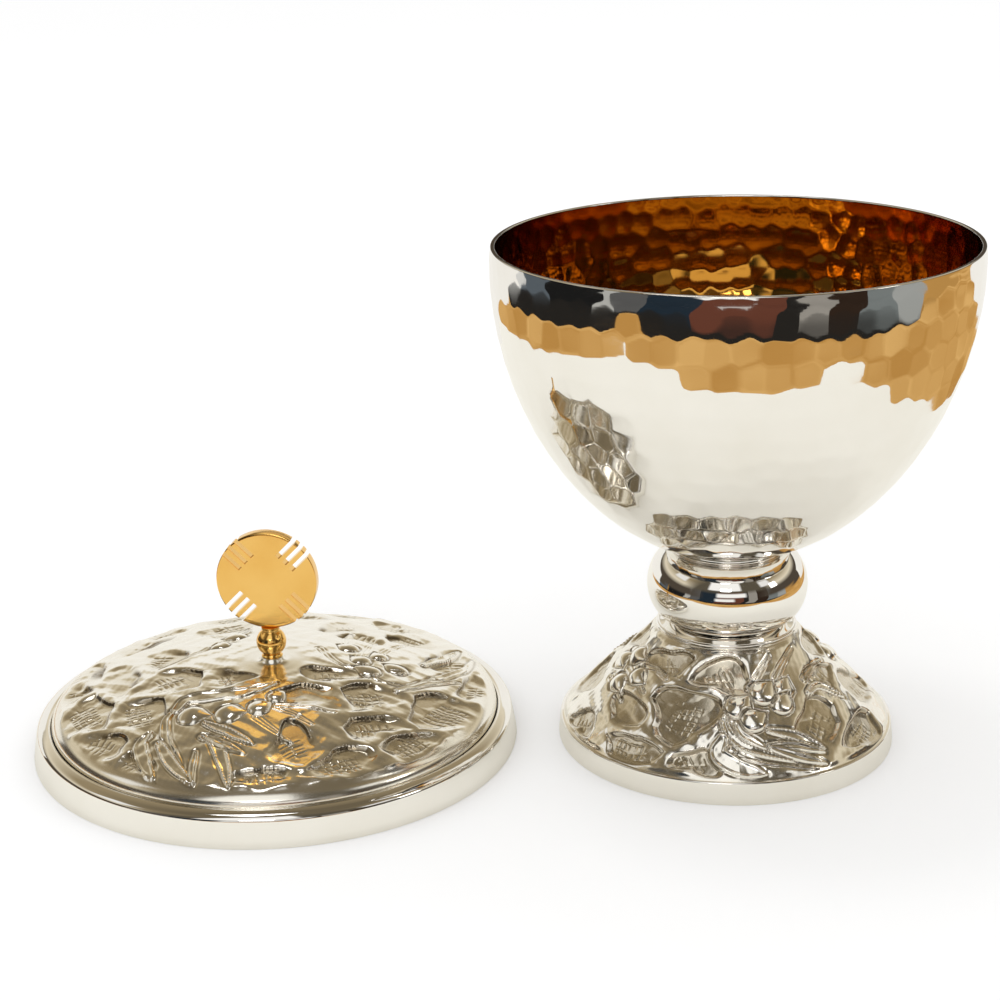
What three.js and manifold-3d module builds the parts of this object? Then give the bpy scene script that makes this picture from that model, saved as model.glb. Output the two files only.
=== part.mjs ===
// Ciborium: a footed cup with a hammered bowl, and its lid lying beside it.
// Millimetres, +Z up. The cup and the lid both stand on Z = 0, and their axes lie on Y = 0.

import * as THREE from 'three';
import { mergeVertices } from 'three/addons/utils/BufferGeometryUtils.js';
import Module from 'manifold-3d';

// Layout of the two halves
const axisGap = 150.4; // from the cup's axis to the lid's axis

// Foot band and repousse cone
const footRadius = 55;
const footBandTaper = 0.6; // the band leans in by this much on its way up
const footBandHeight = 7.5;
const footBandWall = 1.9;
const footShelfWidth = 4.2; // inward shelf that the cone stands on
const footShelfThickness = 1.3;
const footBandShoulder = 0.5; // rounding of the band's edges
const coneSetBack = 1; // ledge left on the band outside the cone
const coneTopRadius = 22.5;
const coneHeight = 31.1;
const coneWall = 1.4;
const coneSwell = 0.5; // how far the flank bows out below and in above
const coneLandWidth = 2.2; // flat ring at the cone's top

// Foot cap, the plain stepped ring between the cone and the knop
const capRimOverhang = 0.3; // past the top of the cone
const capRimDrop = 1.1;
const capRise = 1.4; // from the rim ridge up to the knop's seat
const capRidgeWidth = 0.6;
const capPlateThickness = 3;
const capSpigotGap = 0.4;

// Knop, a hollow flattened bulb
const knopCoreRadius = 16;
const knopBulge = 9.9;
const knopHalfHeight = 12.45;
const knopBottomCut = 0.11;
const knopTopCut = 1;
const knopWall = 1.5;

// Collar under the bowl
const collarRadius = 17.6;
const collarBeadRadius = 0.6;
const collarUndercut = 0.5;

// Bowl
const bowlRadius = 75.4; // at its widest, a little below the rim
const bowlDepth = 93.7; // from the widest level to the tip of the curve
const bowlPower = 1.85; // 2 would be an ellipse
const bowlSeatRadius = 12; // hammered flat underneath
const rimRise = 7.8; // from the widest level to the rim
const rimTuck = 0.4;
const bowlWall = 1.4;
const lipRounding = 0.3;

// Stem fastening
const bossRadius = 11.4;
const bossHeight = 5.5;
const bossSocketDepth = 4;
const rodRadius = 3;
const rodTail = 1.5; // thread that shows below the nut
const footWasherRadius = 9;
const footWasherThickness = 1.5;
const footNutAcrossFlats = 11;
const footNutHeight = 4.5;

// Lid band and rim flange
const lidOverhang = 6.1; // from the bowl's rim out to the band's foot
const lidBandTaper = 1.6; // the band leans in by this much on its way up
const lidBandHeight = 9.8;
const lidBandWall = 1.2;
const lidBandRounding = 0.9;
const lidBeadWidth = 4.6;
const lidBeadRise = 1.2; // the flat bead climbs inwards by this much
const lidSeatHeight = 8.8; // underside that rests on the bowl's rim
const flangeDepth = 7;
const flangeWall = 1.2;
const flangeGap = 0.8; // between the flange and the inside of the bowl

// Lid dome
const flangeLedge = 1.2; // thickness of the dome's inner ledge, which the flange hangs from
const flangeRebate = 0.4; // depth of the rebate that the flange's top is let into
const domeStepHeight = 4.1; // steep step just inside the bead
const domeStepWidth = 2.6;
const domeGroove = 0.4; // how far the step starts below the bead
const domeRise = 12.3; // from the top of the step to the finial's plain seat
const domePower = 1.5;
const domeWall = 1.4;
const finialSeatRadius = 4.6;
const finialSeatRise = 2;
const finialFlareRadius = 7.2;
const apexPlateThickness = 3;

// Finial
const ballRadius = 5;
const ballNeckRadius = 3.1;
const lowerNeckHeight = 1.2;
const upperNeckHeight = 1.5;
const discRadius = 16.8;
const discThickness = 4;
const discChamfer = 0.3;
const discTurnDegrees = -5.4; // how far the disc's face is turned about the lid's axis
const discFootCut = 0.45; // flat filed at the bottom where the neck is soldered
const slotWidth = 1.6;
const slotPitch = 3.07;
const slotsInGroup = 3;
const slotGroups = 4;
const slotStart = 8.9; // from the disc's centre to the slots' inner ends
const studRadius = 1.5;
const studInBall = 5.5;
const studTail = 1;
const lidWasherRadius = 5.4;
const lidWasherThickness = 1;
const lidNutAcrossFlats = 6;
const lidNutHeight = 2.8;

// Chased relief on the lid's dome and on the cone of the foot
const cellDepth = 0.7; // sunken pebble-shaped cells
const cellLean = 0.5; // how far a cell's walls lean out on their way up
const grainRise = 1.1;
const grainRounding = 1.2; // how much narrower a grain's top is
const bladeRise = 0.7;
const bladeRounding = 0.9; // and a blade's
const reliefRoot = 0.4; // how far raised forms reach into the surface
const reliefSlack = 0.1; // faces that are flatter than this are joined
const cellSides = 6;
const grainSides = 4;

// Each form: bearing in degrees, share of the way up the flank, half length, half width, turn in degrees
const lidCells = [
  [178, 0.09, 9, 4, 0],
  [-159, 0.15, 10, 7, 0],
  [-140, 0.11, 6.5, 5.5, 0],
  [-144, 0.36, 9.5, 6, -20],
  [-124, 0.09, 5.5, 3.8, 0],
  [178, 0.33, 8.5, 6.5, 12],
  [-165, 0.59, 8, 6.5, -85],
  [-142, 0.83, 6.5, 4.6, 50],
  [-57, 0.69, 7.5, 5.5, -48],
  [-31, 0.51, 8, 6.5, -48],
  [-23, 0.77, 7, 4.5, -60],
  [-45, 0.3, 8.5, 5.5, -35],
  [-76, 0.3, 8, 6, -84],
  [-64, 0.13, 8, 5.5, 0],
  [-87, 0.1, 6.5, 3.8, 0],
  [-42, 0.11, 8, 5.5, 0],
  [-21, 0.16, 10, 8, -9],
  [-2, 0.08, 7, 3.8, 0],
  [16, 0.18, 7.5, 5.5, -20],
  [40, 0.25, 7, 5.5, 10],
  [62, 0.42, 7, 5.5, 15],
];
const lidGrains = [
  [-123, 0.51, 6, 3, 28],
  [-106, 0.58, 6, 3.2, 21],
  [-91, 0.66, 4.5, 2.8, 36],
  [-80, 0.73, 3.5, 2.4, 40],
  [-4, 0.62, 5, 3, 74],
  [11, 0.66, 4.5, 2.8, 39],
  [34, 0.67, 4.5, 2.8, 26],
  [18, 0.55, 4, 2.4, 12],
  [3, 0.48, 5, 3, 57],
];
const lidBlades = [
  [-122, 0.14, 11, 2.2, -44],
  [-113, 0.14, 11.5, 2.2, -36],
  [-101, 0.19, 12, 2.2, -57],
  [-102, 0.42, 9.5, 2.2, -24],
  [-127, 0.67, 10.5, 3, 41],
  [-2, 0.29, 9, 2, -38],
];
// Rows of cells on the back half of the lid: share of the way up, and how many
const lidBackRows = [[0.12, 7], [0.42, 3]];
const lidBackFrom = 50;
const lidBackTo = 170;
const lidBackCell = [7.5, 5.5, 0];

// The foot's forms, repeated after half a turn
const footCells = [
  [-161, 0.12, 5.5, 3, 0],
  [-136, 0.82, 6, 3.8, 10],
  [-142, 0.38, 6.5, 4.5, 0],
  [-116, 0.47, 7.5, 7, 80],
  [-131, 0.14, 8, 3.6, 0],
  [-106, 0.14, 6, 3.4, 0],
  [-97, 0.79, 6.5, 4.4, 0],
  [-51, 0.37, 7.5, 5.5, 30],
  [-32, 0.15, 8, 3.8, 0],
  [-32, 0.62, 6.5, 4.2, 0],
  [-8, 0.36, 7.5, 5, -20],
  [-9, 0.82, 5.5, 3.8, 0],
];
const footGrains = [
  [-88, 0.58, 4, 2.5, 35],
  [-75, 0.66, 4, 2.5, 40],
  [-66, 0.51, 4, 2.5, 45],
  [-58, 0.7, 3.8, 2.4, 50],
  [-175, 0.62, 4, 2.5, -10],
  [-164, 0.74, 4, 2.5, 10],
  [-160, 0.5, 4, 2.5, -20],
];
const footBlades = [
  [-92, 0.18, 8, 3.2, -40],
  [-70, 0.27, 9.5, 2, -25],
];

// Clearances
const threadGap = 0.15; // screwed and sliding pieces on one axis
const seatGap = 0.3; // curved or turned faces that meet

// Facets round each piece, and steps along its curves
const shellSteps = 40;
const stemSteps = 28;
const smallSteps = 16;
const bowlCurveSteps = 8;
const knopCurveSteps = 7;
const coneCurveSteps = 4;
const domeCurveSteps = 6;
const ballCurveSteps = 8;
const cornerSteps = 3;

// Radii that follow from their neighbours
const footBandTopRadius = footRadius - footBandTaper;
const coneBottomRadius = footBandTopRadius - coneSetBack;
const capRimRadius = coneTopRadius + capRimOverhang;
const rimRadius = bowlRadius - rimTuck;
const lidRadius = rimRadius + lidOverhang;
const lidBandTopRadius = lidRadius - lidBandTaper;
const lidBeadInnerRadius = lidBandTopRadius - lidBeadWidth;
const flangeRadius = rimRadius - bowlWall - flangeGap;
const flangeInnerRadius = flangeRadius - flangeWall;

// Levels on the cup, from the table up
const coneSeatZ = footBandHeight;
const coneTopZ = coneSeatZ + coneHeight;
const capRidgeZ = coneTopZ + capRimDrop;
const capSeatZ = capRidgeZ + capRise;
const knopCentreZ = capSeatZ + knopHalfHeight - knopBottomCut;
const knopTopZ = knopCentreZ + knopHalfHeight - knopTopCut;
const knopSeatRadius = knopCoreRadius + knopBulge * Math.sqrt(1 - (1 - knopBottomCut / knopHalfHeight) ** 2);
const collarInnerRadius = bossRadius + threadGap + seatGap;
const bowlDrop = (radius, shellRadius, depth) =>
  depth * (1 - (radius / shellRadius) ** 2) ** (1 / bowlPower);
const bowlSeatZ = knopTopZ + collarUndercut;
const bowlWidestZ = bowlSeatZ + bowlDrop(bowlSeatRadius, bowlRadius, bowlDepth);
const rimZ = bowlWidestZ + rimRise;
const bowlUnderZ = (radius) => bowlWidestZ - bowlDrop(radius, bowlRadius, bowlDepth);

// Levels on the lid
const lidBeadTopZ = lidBandHeight + lidBeadRise;
const domeEdgeRadius = lidBeadInnerRadius - seatGap;
const domeStepRadius = domeEdgeRadius - domeStepWidth;
const domeStepZ = lidBeadTopZ + domeStepHeight;
const flangeTopZ = lidSeatHeight + flangeRebate;
const domeZ = (radius) => domeStepZ + domeRise * (1 - (radius / domeStepRadius) ** domePower);
const finialSeatZ = domeZ(finialFlareRadius) + finialSeatRise;
const apexUnderZ = finialSeatZ - apexPlateThickness;
const ballSink = Math.sqrt(ballRadius ** 2 - ballNeckRadius ** 2);
const ballCentreZ = finialSeatZ + lowerNeckHeight + ballSink;
const neckTopZ = ballCentreZ + ballSink + upperNeckHeight;
const discCentreZ = neckTopZ + seatGap + discRadius - discFootCut;

// The two axes, placed so that the pair is centred on X = 0
const cupX = (axisGap + lidRadius - bowlRadius) / 2;
const lidX = cupX - axisGap;

const finishes = {
  mirrorSilver: { color: 0xe9e7e1, roughness: 0.08, metalness: 1 },
  satinSilver: { color: 0xd6d1c3, roughness: 0.3, metalness: 1 },
  polishedGold: { color: 0xe8b653, roughness: 0.12, metalness: 1 },
  turnedBrass: { color: 0xb59b5c, roughness: 0.35, metalness: 1 },
};

const wasm = await Module();
wasm.setup();

// A named piece in its own finish
function piece(name, finish, geometry) {
  const mesh = new THREE.Mesh(geometry, new THREE.MeshStandardMaterial(finishes[finish]));
  mesh.name = name;
  return mesh;
}

// A body of revolution about Z from a list of [radius, height] points
function turned(profile, steps) {
  const points = profile.map(([radius, height]) => new THREE.Vector2(radius, height));
  return new THREE.LatheGeometry(points, steps).rotateX(Math.PI / 2);
}

// A ring: the same, with the outline closed on itself
function turnedRing(profile, steps) {
  return turned([...profile, profile[0]], steps);
}

// Evenly stepped values from 0 to 1
function steps01(count) {
  return Array.from({ length: count + 1 }, (_, i) => i / count);
}

// Points on an arc, angles in degrees from the outward radius towards +Z
function arc(centreRadius, centreZ, radius, fromDegrees, toDegrees, count) {
  return steps01(count).map((t) => {
    const angle = THREE.MathUtils.degToRad(fromDegrees + (toDegrees - fromDegrees) * t);
    return [centreRadius + radius * Math.cos(angle), centreZ + radius * Math.sin(angle)];
  });
}

// A solid for joining and cutting, from a closed geometry
function solidOf(geometry) {
  geometry.deleteAttribute('normal');
  geometry.deleteAttribute('uv');
  const merged = mergeVertices(geometry, 1e-4);
  return new wasm.Manifold(new wasm.Mesh({
    numProp: 3,
    vertProperties: new Float32Array(merged.attributes.position.array),
    triVerts: new Uint32Array(merged.index.array),
  }));
}

function geometryOf(solid) {
  const mesh = solid.getMesh();
  const geometry = new THREE.BufferGeometry();
  geometry.setAttribute('position', new THREE.BufferAttribute(mesh.vertProperties, 3));
  geometry.setIndex(new THREE.BufferAttribute(mesh.triVerts, 1));
  geometry.computeVertexNormals();
  return geometry;
}

// Bowl curve from its flat seat up to the rim, for a shell of the given radius and depth
function bowlCurve(shellRadius, depth, seatRadius) {
  const start = Math.asin(seatRadius / shellRadius);
  const side = steps01(bowlCurveSteps).map((t) => {
    const angle = start + (Math.PI / 2 - start) * t;
    const radius = shellRadius * Math.sin(angle);
    return [radius, bowlWidestZ - bowlDrop(radius, shellRadius, depth)];
  });
  const tuck = steps01(cornerSteps - 1).slice(1).map((t) => [
    shellRadius - rimTuck * t * t,
    bowlWidestZ + (rimRise - lipRounding) * t,
  ]);
  return [...side, ...tuck];
}

function bowl() {
  const outer = bowlCurve(bowlRadius, bowlDepth, bowlSeatRadius);
  const innerSeatRadius = bowlSeatRadius - bowlWall / 2;
  const inner = bowlCurve(bowlRadius - bowlWall, bowlDepth - bowlWall, innerSeatRadius);
  const lipOuter = rimRadius - lipRounding;
  const lipInner = rimRadius - bowlWall + lipRounding;
  const profile = [
    [0, outer[0][1]],
    ...outer,
    [lipOuter, rimZ],
    [lipInner, rimZ],
    ...inner.reverse(),
    [0, inner[inner.length - 1][1]],
  ];
  return piece('bowl', 'mirrorSilver', turned(profile, shellSteps));
}

// Threaded boss soldered under the bowl; the tie rod screws into it
function bowlBoss() {
  const bottom = bowlSeatZ - bossHeight;
  const socket = rodRadius + threadGap;
  const profile = [
    [0, bottom + bossSocketDepth],
    [socket, bottom + bossSocketDepth],
    [socket, bottom],
    [bossRadius - seatGap, bottom],
    [bossRadius, bottom + seatGap],
    [bossRadius, bowlSeatZ],
    [0, bowlSeatZ],
  ];
  return piece('bowl_boss', 'turnedBrass', turned(profile, smallSteps));
}

// Stepped ring with one bead, wedged between the knop and the round of the bowl
function upperCollar() {
  const neck = collarRadius - collarBeadRadius / 2;
  const beadZ = knopTopZ + collarBeadRadius;
  const top = (radius) => bowlUnderZ(radius) - seatGap;
  const profile = [
    [collarInnerRadius, knopTopZ],
    [neck, knopTopZ],
    ...arc(collarRadius, beadZ, collarBeadRadius, -90, 90, cornerSteps + 1),
    [neck, beadZ + collarBeadRadius],
    [neck, top(neck)],
    [collarInnerRadius, top(collarInnerRadius)],
  ];
  return piece('upper_collar', 'mirrorSilver', turnedRing(profile, stemSteps));
}

// One wall of the knop between its two flat cuts, from the bottom up
function knopCurve(bulge, halfHeight, bottomZ, topZ) {
  const angleAt = (z) => Math.asin(Math.min(1, Math.max(-1, (z - knopCentreZ) / halfHeight)));
  const from = angleAt(bottomZ);
  const to = angleAt(topZ);
  return steps01(knopCurveSteps).map((t) => {
    const angle = from + (to - from) * t;
    return [knopCoreRadius + bulge * Math.cos(angle), knopCentreZ + halfHeight * Math.sin(angle)];
  });
}

function knop() {
  const outer = knopCurve(knopBulge, knopHalfHeight, capSeatZ, knopTopZ);
  const inner = knopCurve(
    knopBulge - knopWall, knopHalfHeight - knopWall, capSeatZ + knopWall, knopTopZ - knopWall,
  );
  const rodHole = rodRadius + threadGap;
  const bossHole = bossRadius + threadGap;
  const profile = [
    [rodHole, capSeatZ],
    ...outer,
    [bossHole, knopTopZ],
    [bossHole, knopTopZ - knopWall],
    ...inner.reverse(),
    [rodHole, capSeatZ + knopWall],
  ];
  return piece('knop', 'mirrorSilver', turnedRing(profile, stemSteps));
}

// Plain ring with a fine ridge, seated in the top of the cone
function footCap() {
  const spigotRadius = coneTopRadius - coneLandWidth - capSpigotGap;
  const hole = rodRadius + threadGap;
  const ridgeInner = capRimRadius - capRidgeWidth;
  const slope = capRise / (ridgeInner - knopSeatRadius);
  const profile = [
    [hole, capSeatZ - capPlateThickness],
    [spigotRadius, capSeatZ - capPlateThickness],
    [spigotRadius, coneTopZ],
    [capRimRadius - capRidgeWidth / 2, coneTopZ],
    ...arc(ridgeInner, capRidgeZ, capRidgeWidth, 0, 70, 2),
    [ridgeInner - capRidgeWidth, capRidgeZ + slope * capRidgeWidth],
    [knopSeatRadius, capSeatZ],
    [hole, capSeatZ],
  ];
  return piece('foot_cap', 'mirrorSilver', turnedRing(profile, stemSteps));
}

// Cone of the foot between two radii, bowed out below the middle and in above it
const coneRadius = (t, bottomRadius, topRadius) =>
  bottomRadius + (topRadius - bottomRadius) * t + coneSwell * Math.sin(2 * Math.PI * t);

function coneCurve(bottomRadius, topRadius, bottomZ, topZ) {
  return steps01(coneCurveSteps).map((t) => [
    coneRadius(t, bottomRadius, topRadius),
    bottomZ + (topZ - bottomZ) * t,
  ]);
}

function footCone() {
  const slant = Math.hypot(coneBottomRadius - coneTopRadius, coneHeight);
  const inset = coneWall * slant / coneHeight; // the wall measured level instead of square
  const outer = coneCurve(coneBottomRadius, coneTopRadius, coneSeatZ, coneTopZ);
  const landRadius = coneTopRadius - coneLandWidth;
  const profile = [
    ...outer,
    [landRadius, coneTopZ],
    ...coneCurve(coneBottomRadius - inset, landRadius, coneSeatZ, coneTopZ - coneWall).reverse(),
  ];
  const twice = (forms) => forms.flatMap(([bearing, ...rest]) => [[bearing, ...rest], [bearing + 180, ...rest]]);
  const shell = turnedRing(profile, shellSteps);
  const relief = [footCells, footGrains, footBlades].map(twice);
  return piece('foot_cone', 'satinSilver', chased(shell, conePlace, ...relief));
}

// Smooth upright band round the bottom, with the shelf that carries the cone
function footBand() {
  const wallInner = footRadius - footBandWall;
  const shelfInner = footRadius - footShelfWidth;
  const shoulderZ = footBandHeight - footBandShoulder;
  const shelfUnder = footBandHeight - footShelfThickness;
  const profile = [
    [wallInner, 0],
    [footRadius - footBandShoulder / 2, 0],
    [footRadius, footBandShoulder / 2],
    ...arc(footBandTopRadius - footBandShoulder, shoulderZ, footBandShoulder, 0, 90, 2),
    [shelfInner, footBandHeight],
    [shelfInner, shelfUnder],
    [wallInner, shelfUnder - footShelfThickness / 2],
  ];
  return piece('foot_band', 'mirrorSilver', turnedRing(profile, shellSteps));
}

// Threaded rod that draws the whole stem together
function tieRod() {
  const top = bowlSeatZ - bossHeight + bossSocketDepth - seatGap;
  const nutBottom = capSeatZ - capPlateThickness - footWasherThickness - footNutHeight;
  const profile = [[0, nutBottom - rodTail], [rodRadius, nutBottom - rodTail], [rodRadius, top], [0, top]];
  return piece('tie_rod', 'turnedBrass', turned(profile, smallSteps));
}

function washer(name, radius, hole, topZ, thickness) {
  const bottomZ = topZ - thickness;
  const profile = [[hole, bottomZ], [radius, bottomZ], [radius, topZ], [hole, topZ]];
  return piece(name, 'turnedBrass', turnedRing(profile, smallSteps));
}

// Six-sided nut standing on the given level
function hexNut(name, acrossFlats, hole, bottomZ, height) {
  const shape = new THREE.Shape();
  const corner = acrossFlats / Math.sqrt(3);
  for (let side = 0; side < 6; side += 1) {
    const angle = side * Math.PI / 3;
    const [x, y] = [corner * Math.cos(angle), corner * Math.sin(angle)];
    if (side === 0) shape.moveTo(x, y);
    else shape.lineTo(x, y);
  }
  shape.closePath();
  shape.holes.push(new THREE.Path().absarc(0, 0, hole, 0, Math.PI * 2, true));
  const options = { depth: height, bevelEnabled: false, curveSegments: smallSteps / 2 };
  return piece(name, 'turnedBrass', new THREE.ExtrudeGeometry(shape, options).translate(0, 0, bottomZ));
}

// Outer moulding of the lid: upright band, rounded edge and the flat bead inside it
function lidBand() {
  const shoulderZ = lidBandHeight - lidBandRounding;
  const innerTop = lidBandTopRadius - lidBandWall;
  const profile = [
    [lidRadius - lidBandWall, 0],
    [lidRadius, 0],
    ...arc(lidBandTopRadius - lidBandRounding, shoulderZ, lidBandRounding, 10, 80, cornerSteps - 1),
    [lidBeadInnerRadius, lidBeadTopZ],
    [lidBeadInnerRadius, lidSeatHeight],
    [innerTop, lidSeatHeight],
    [innerTop, lidSeatHeight - lidBandWall / 2],
  ];
  return piece('lid_band', 'mirrorSilver', turnedRing(profile, shellSteps));
}

// Ring inside the lid that drops into the mouth of the bowl
function lidFlange() {
  const lead = flangeWall / 3;
  const bottom = lidSeatHeight - flangeDepth;
  const profile = [
    [flangeInnerRadius, bottom],
    [flangeRadius - lead, bottom],
    [flangeRadius, bottom + lead * 2],
    [flangeRadius, flangeTopZ],
    [flangeInnerRadius, flangeTopZ],
  ];
  return piece('lid_flange', 'mirrorSilver', turnedRing(profile, shellSteps));
}

// Places on the lid's dome: along the rim, up the flank and square to it, from one form's middle
function domePlace(bearing, share) {
  const angle = THREE.MathUtils.degToRad(bearing);
  const centre = domeStepRadius - (domeStepRadius - finialFlareRadius) * share;
  return (along, up, lift) => {
    const x = (centre - up) * Math.cos(angle) - along * Math.sin(angle);
    const y = (centre - up) * Math.sin(angle) + along * Math.cos(angle);
    return [x, y, domeZ(Math.hypot(x, y)) + lift];
  };
}

// The same on the cone of the foot
function conePlace(bearing, share) {
  const flank = Math.atan2(coneHeight, coneBottomRadius - coneTopRadius);
  return (along, up, lift) => {
    const t = share + up * Math.sin(flank) / coneHeight;
    const radius = coneRadius(t, coneBottomRadius, coneTopRadius);
    const angle = THREE.MathUtils.degToRad(bearing) + along / radius;
    const out = radius + lift * Math.sin(flank);
    return [out * Math.cos(angle), out * Math.sin(angle), coneSeatZ + t * coneHeight + lift * Math.cos(flank)];
  };
}

// One form of the relief: a closed body between a lower and an upper oval that both follow the surface
function reliefForm(place, sides, [bearing, share, halfLength, halfWidth, turn], lower, upper) {
  const spot = place(bearing, share);
  const tilt = THREE.MathUtils.degToRad(turn);
  const layer = ([grow, lift]) => {
    const edge = steps01(sides).slice(1).map((t) => {
      const across = (halfLength + grow) * Math.cos(2 * Math.PI * t);
      const along = (halfWidth + grow) * Math.sin(2 * Math.PI * t);
      return spot(
        across * Math.cos(tilt) - along * Math.sin(tilt),
        across * Math.sin(tilt) + along * Math.cos(tilt),
        lift,
      );
    });
    return [spot(0, 0, lift), ...edge];
  };
  const faces = [];
  const middle = sides + 1;
  for (let side = 0; side < sides; side += 1) {
    const here = 1 + side;
    const next = 1 + (side + 1) % sides;
    faces.push(0, next, here, middle, middle + here, middle + next);
    faces.push(here, next, middle + next, here, middle + next, middle + here);
  }
  return new wasm.Manifold(new wasm.Mesh({
    numProp: 3,
    vertProperties: new Float32Array([...layer(lower), ...layer(upper)].flat()),
    triVerts: new Uint32Array(faces),
  }));
}

// A turned shell with its cells sunk and its grains and blades raised
function chased(shell, place, cells, grains, blades) {
  const sunk = [-cellLean, -cellDepth];
  const clear = [cellLean, cellDepth];
  let solid = solidOf(shell);
  for (const form of cells) solid = solid.subtract(reliefForm(place, cellSides, form, sunk, clear));
  const raised = (form, rise, rounding) =>
    solid.add(reliefForm(place, grainSides, form, [0, -reliefRoot], [-rounding, rise]));
  for (const form of grains) solid = raised(form, grainRise, grainRounding);
  for (const form of blades) solid = raised(form, bladeRise, bladeRounding);
  return geometryOf(solid.simplify(reliefSlack));
}

// Low repousse dome with a steep edge step and a plain raised seat for the finial
function lidDome() {
  const step = steps01(cornerSteps).map((t) => [
    domeEdgeRadius - domeStepWidth * t ** 1.5,
    lidBeadTopZ - domeGroove + (domeStepHeight + domeGroove) * t,
  ]);
  const dome = (lower) => steps01(domeCurveSteps).slice(1).map((t) => {
    const radius = domeStepRadius + (finialFlareRadius - domeStepRadius) * t;
    return [radius, domeZ(radius) - lower];
  });
  const flare = steps01(cornerSteps).slice(1).map((t) => [
    finialFlareRadius + (finialSeatRadius - finialFlareRadius) * Math.sqrt(t),
    domeZ(finialFlareRadius) + finialSeatRise * t * t,
  ]);
  const rebateRadius = flangeRadius + threadGap;
  const hole = studRadius + threadGap;
  const under = dome(domeWall).filter(([, z]) => z < apexUnderZ);
  const profile = [
    [rebateRadius, flangeTopZ],
    [rebateRadius, lidSeatHeight],
    [domeEdgeRadius, lidSeatHeight],
    ...step,
    ...dome(0),
    ...flare,
    [hole, finialSeatZ],
    [hole, apexUnderZ],
    [finialFlareRadius, apexUnderZ],
    ...under.reverse(),
    [domeStepRadius - domeWall, domeStepZ - domeWall * 1.5],
    [domeEdgeRadius - domeWall, flangeTopZ + flangeLedge],
    [flangeInnerRadius, flangeTopZ + flangeLedge],
    [flangeInnerRadius, flangeTopZ],
  ];
  const backCells = lidBackRows.flatMap(([share, count]) => steps01(count - 1).map((t) => [
    lidBackFrom + (lidBackTo - lidBackFrom) * t, share, ...lidBackCell,
  ]));
  const shell = turnedRing(profile, shellSteps);
  const cells = [...lidCells, ...backCells];
  return piece('lid_dome', 'satinSilver', chased(shell, domePlace, cells, lidGrains, lidBlades));
}

// Ball with a short neck at each end, bored from below for the stud
function finialBall() {
  const neckAngle = THREE.MathUtils.radToDeg(Math.asin(ballSink / ballRadius));
  const bore = studRadius + threadGap;
  const boreTop = finialSeatZ + studInBall;
  const profile = [
    [0, boreTop],
    [bore, boreTop],
    [bore, finialSeatZ],
    [ballNeckRadius, finialSeatZ],
    ...arc(0, ballCentreZ, ballRadius, -neckAngle, neckAngle, ballCurveSteps),
    [ballNeckRadius, neckTopZ],
    [0, neckTopZ],
  ];
  return piece('finial_ball', 'polishedGold', turned(profile, smallSteps));
}

// Upright disc sawn in from the rim by groups of parallel slots on its diagonals
function finialDisc() {
  const outline = new THREE.Shape().absarc(0, 0, discRadius - discChamfer, 0, Math.PI * 2);
  const blank = new THREE.ExtrudeGeometry(outline, {
    depth: discThickness - 2 * discChamfer,
    bevelEnabled: true,
    bevelThickness: discChamfer,
    bevelSize: discChamfer,
    bevelSegments: 1,
    curveSegments: shellSteps / 2,
  }).translate(0, 0, discChamfer - discThickness / 2);
  let disc = solidOf(blank.rotateX(Math.PI / 2));

  const slotLength = discRadius - slotStart + 2;
  for (let group = 0; group < slotGroups; group += 1) {
    const turn = Math.PI / slotGroups + group * 2 * Math.PI / slotGroups;
    for (let slot = 0; slot < slotsInGroup; slot += 1) {
      const offset = (slot - (slotsInGroup - 1) / 2) * slotPitch;
      const saw = new THREE.BoxGeometry(slotLength, discThickness * 2, slotWidth)
        .translate(slotStart + slotLength / 2, 0, offset)
        .rotateY(turn);
      disc = disc.subtract(solidOf(saw));
    }
  }

  const foot = new THREE.BoxGeometry(discRadius, discThickness * 2, discRadius)
    .translate(0, 0, discFootCut - discRadius * 1.5);
  disc = disc.subtract(solidOf(foot));

  const mesh = piece('finial_disc', 'polishedGold', geometryOf(disc));
  mesh.rotation.z = THREE.MathUtils.degToRad(discTurnDegrees);
  mesh.position.z = discCentreZ;
  return mesh;
}

function finialStud() {
  const bottom = apexUnderZ - lidWasherThickness - lidNutHeight - studTail;
  const top = finialSeatZ + studInBall - seatGap;
  const profile = [[0, bottom], [studRadius, bottom], [studRadius, top], [0, top]];
  return piece('finial_stud', 'turnedBrass', turned(profile, smallSteps));
}

const cup = new THREE.Group();
cup.position.x = cupX;
const footWasherTopZ = capSeatZ - capPlateThickness;
const footNutTopZ = footWasherTopZ - footWasherThickness;
cup.add(
  footBand(),
  footCone(),
  footCap(),
  knop(),
  upperCollar(),
  bowl(),
  bowlBoss(),
  tieRod(),
  washer('foot_washer', footWasherRadius, rodRadius + threadGap, footWasherTopZ, footWasherThickness),
  hexNut('foot_nut', footNutAcrossFlats, rodRadius + threadGap, footNutTopZ - footNutHeight, footNutHeight),
);

const lid = new THREE.Group();
lid.position.x = lidX;
const lidNutTopZ = apexUnderZ - lidWasherThickness;
lid.add(
  lidBand(),
  lidFlange(),
  lidDome(),
  finialBall(),
  finialDisc(),
  finialStud(),
  washer('lid_washer', lidWasherRadius, studRadius + threadGap, apexUnderZ, lidWasherThickness),
  hexNut('lid_nut', lidNutAcrossFlats, studRadius + threadGap, lidNutTopZ - lidNutHeight, lidNutHeight),
);

const ciborium = new THREE.Group();
ciborium.add(cup, lid);

export default ciborium;
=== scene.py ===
# Ciborium: a silver cup with a hammered, gilt-lined bowl, and its lid lying beside it.
# Sizes and outlines are in millimetres, outlines as (radius, height) from each half's own upright
# axis. Bearings are in degrees round that axis, from +X towards +Y, so the front is at -90.

from math import asin, atan2, cos, pi, radians, sin, sqrt, tan

import bpy
import numpy as np
from mathutils import Matrix, Vector

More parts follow.
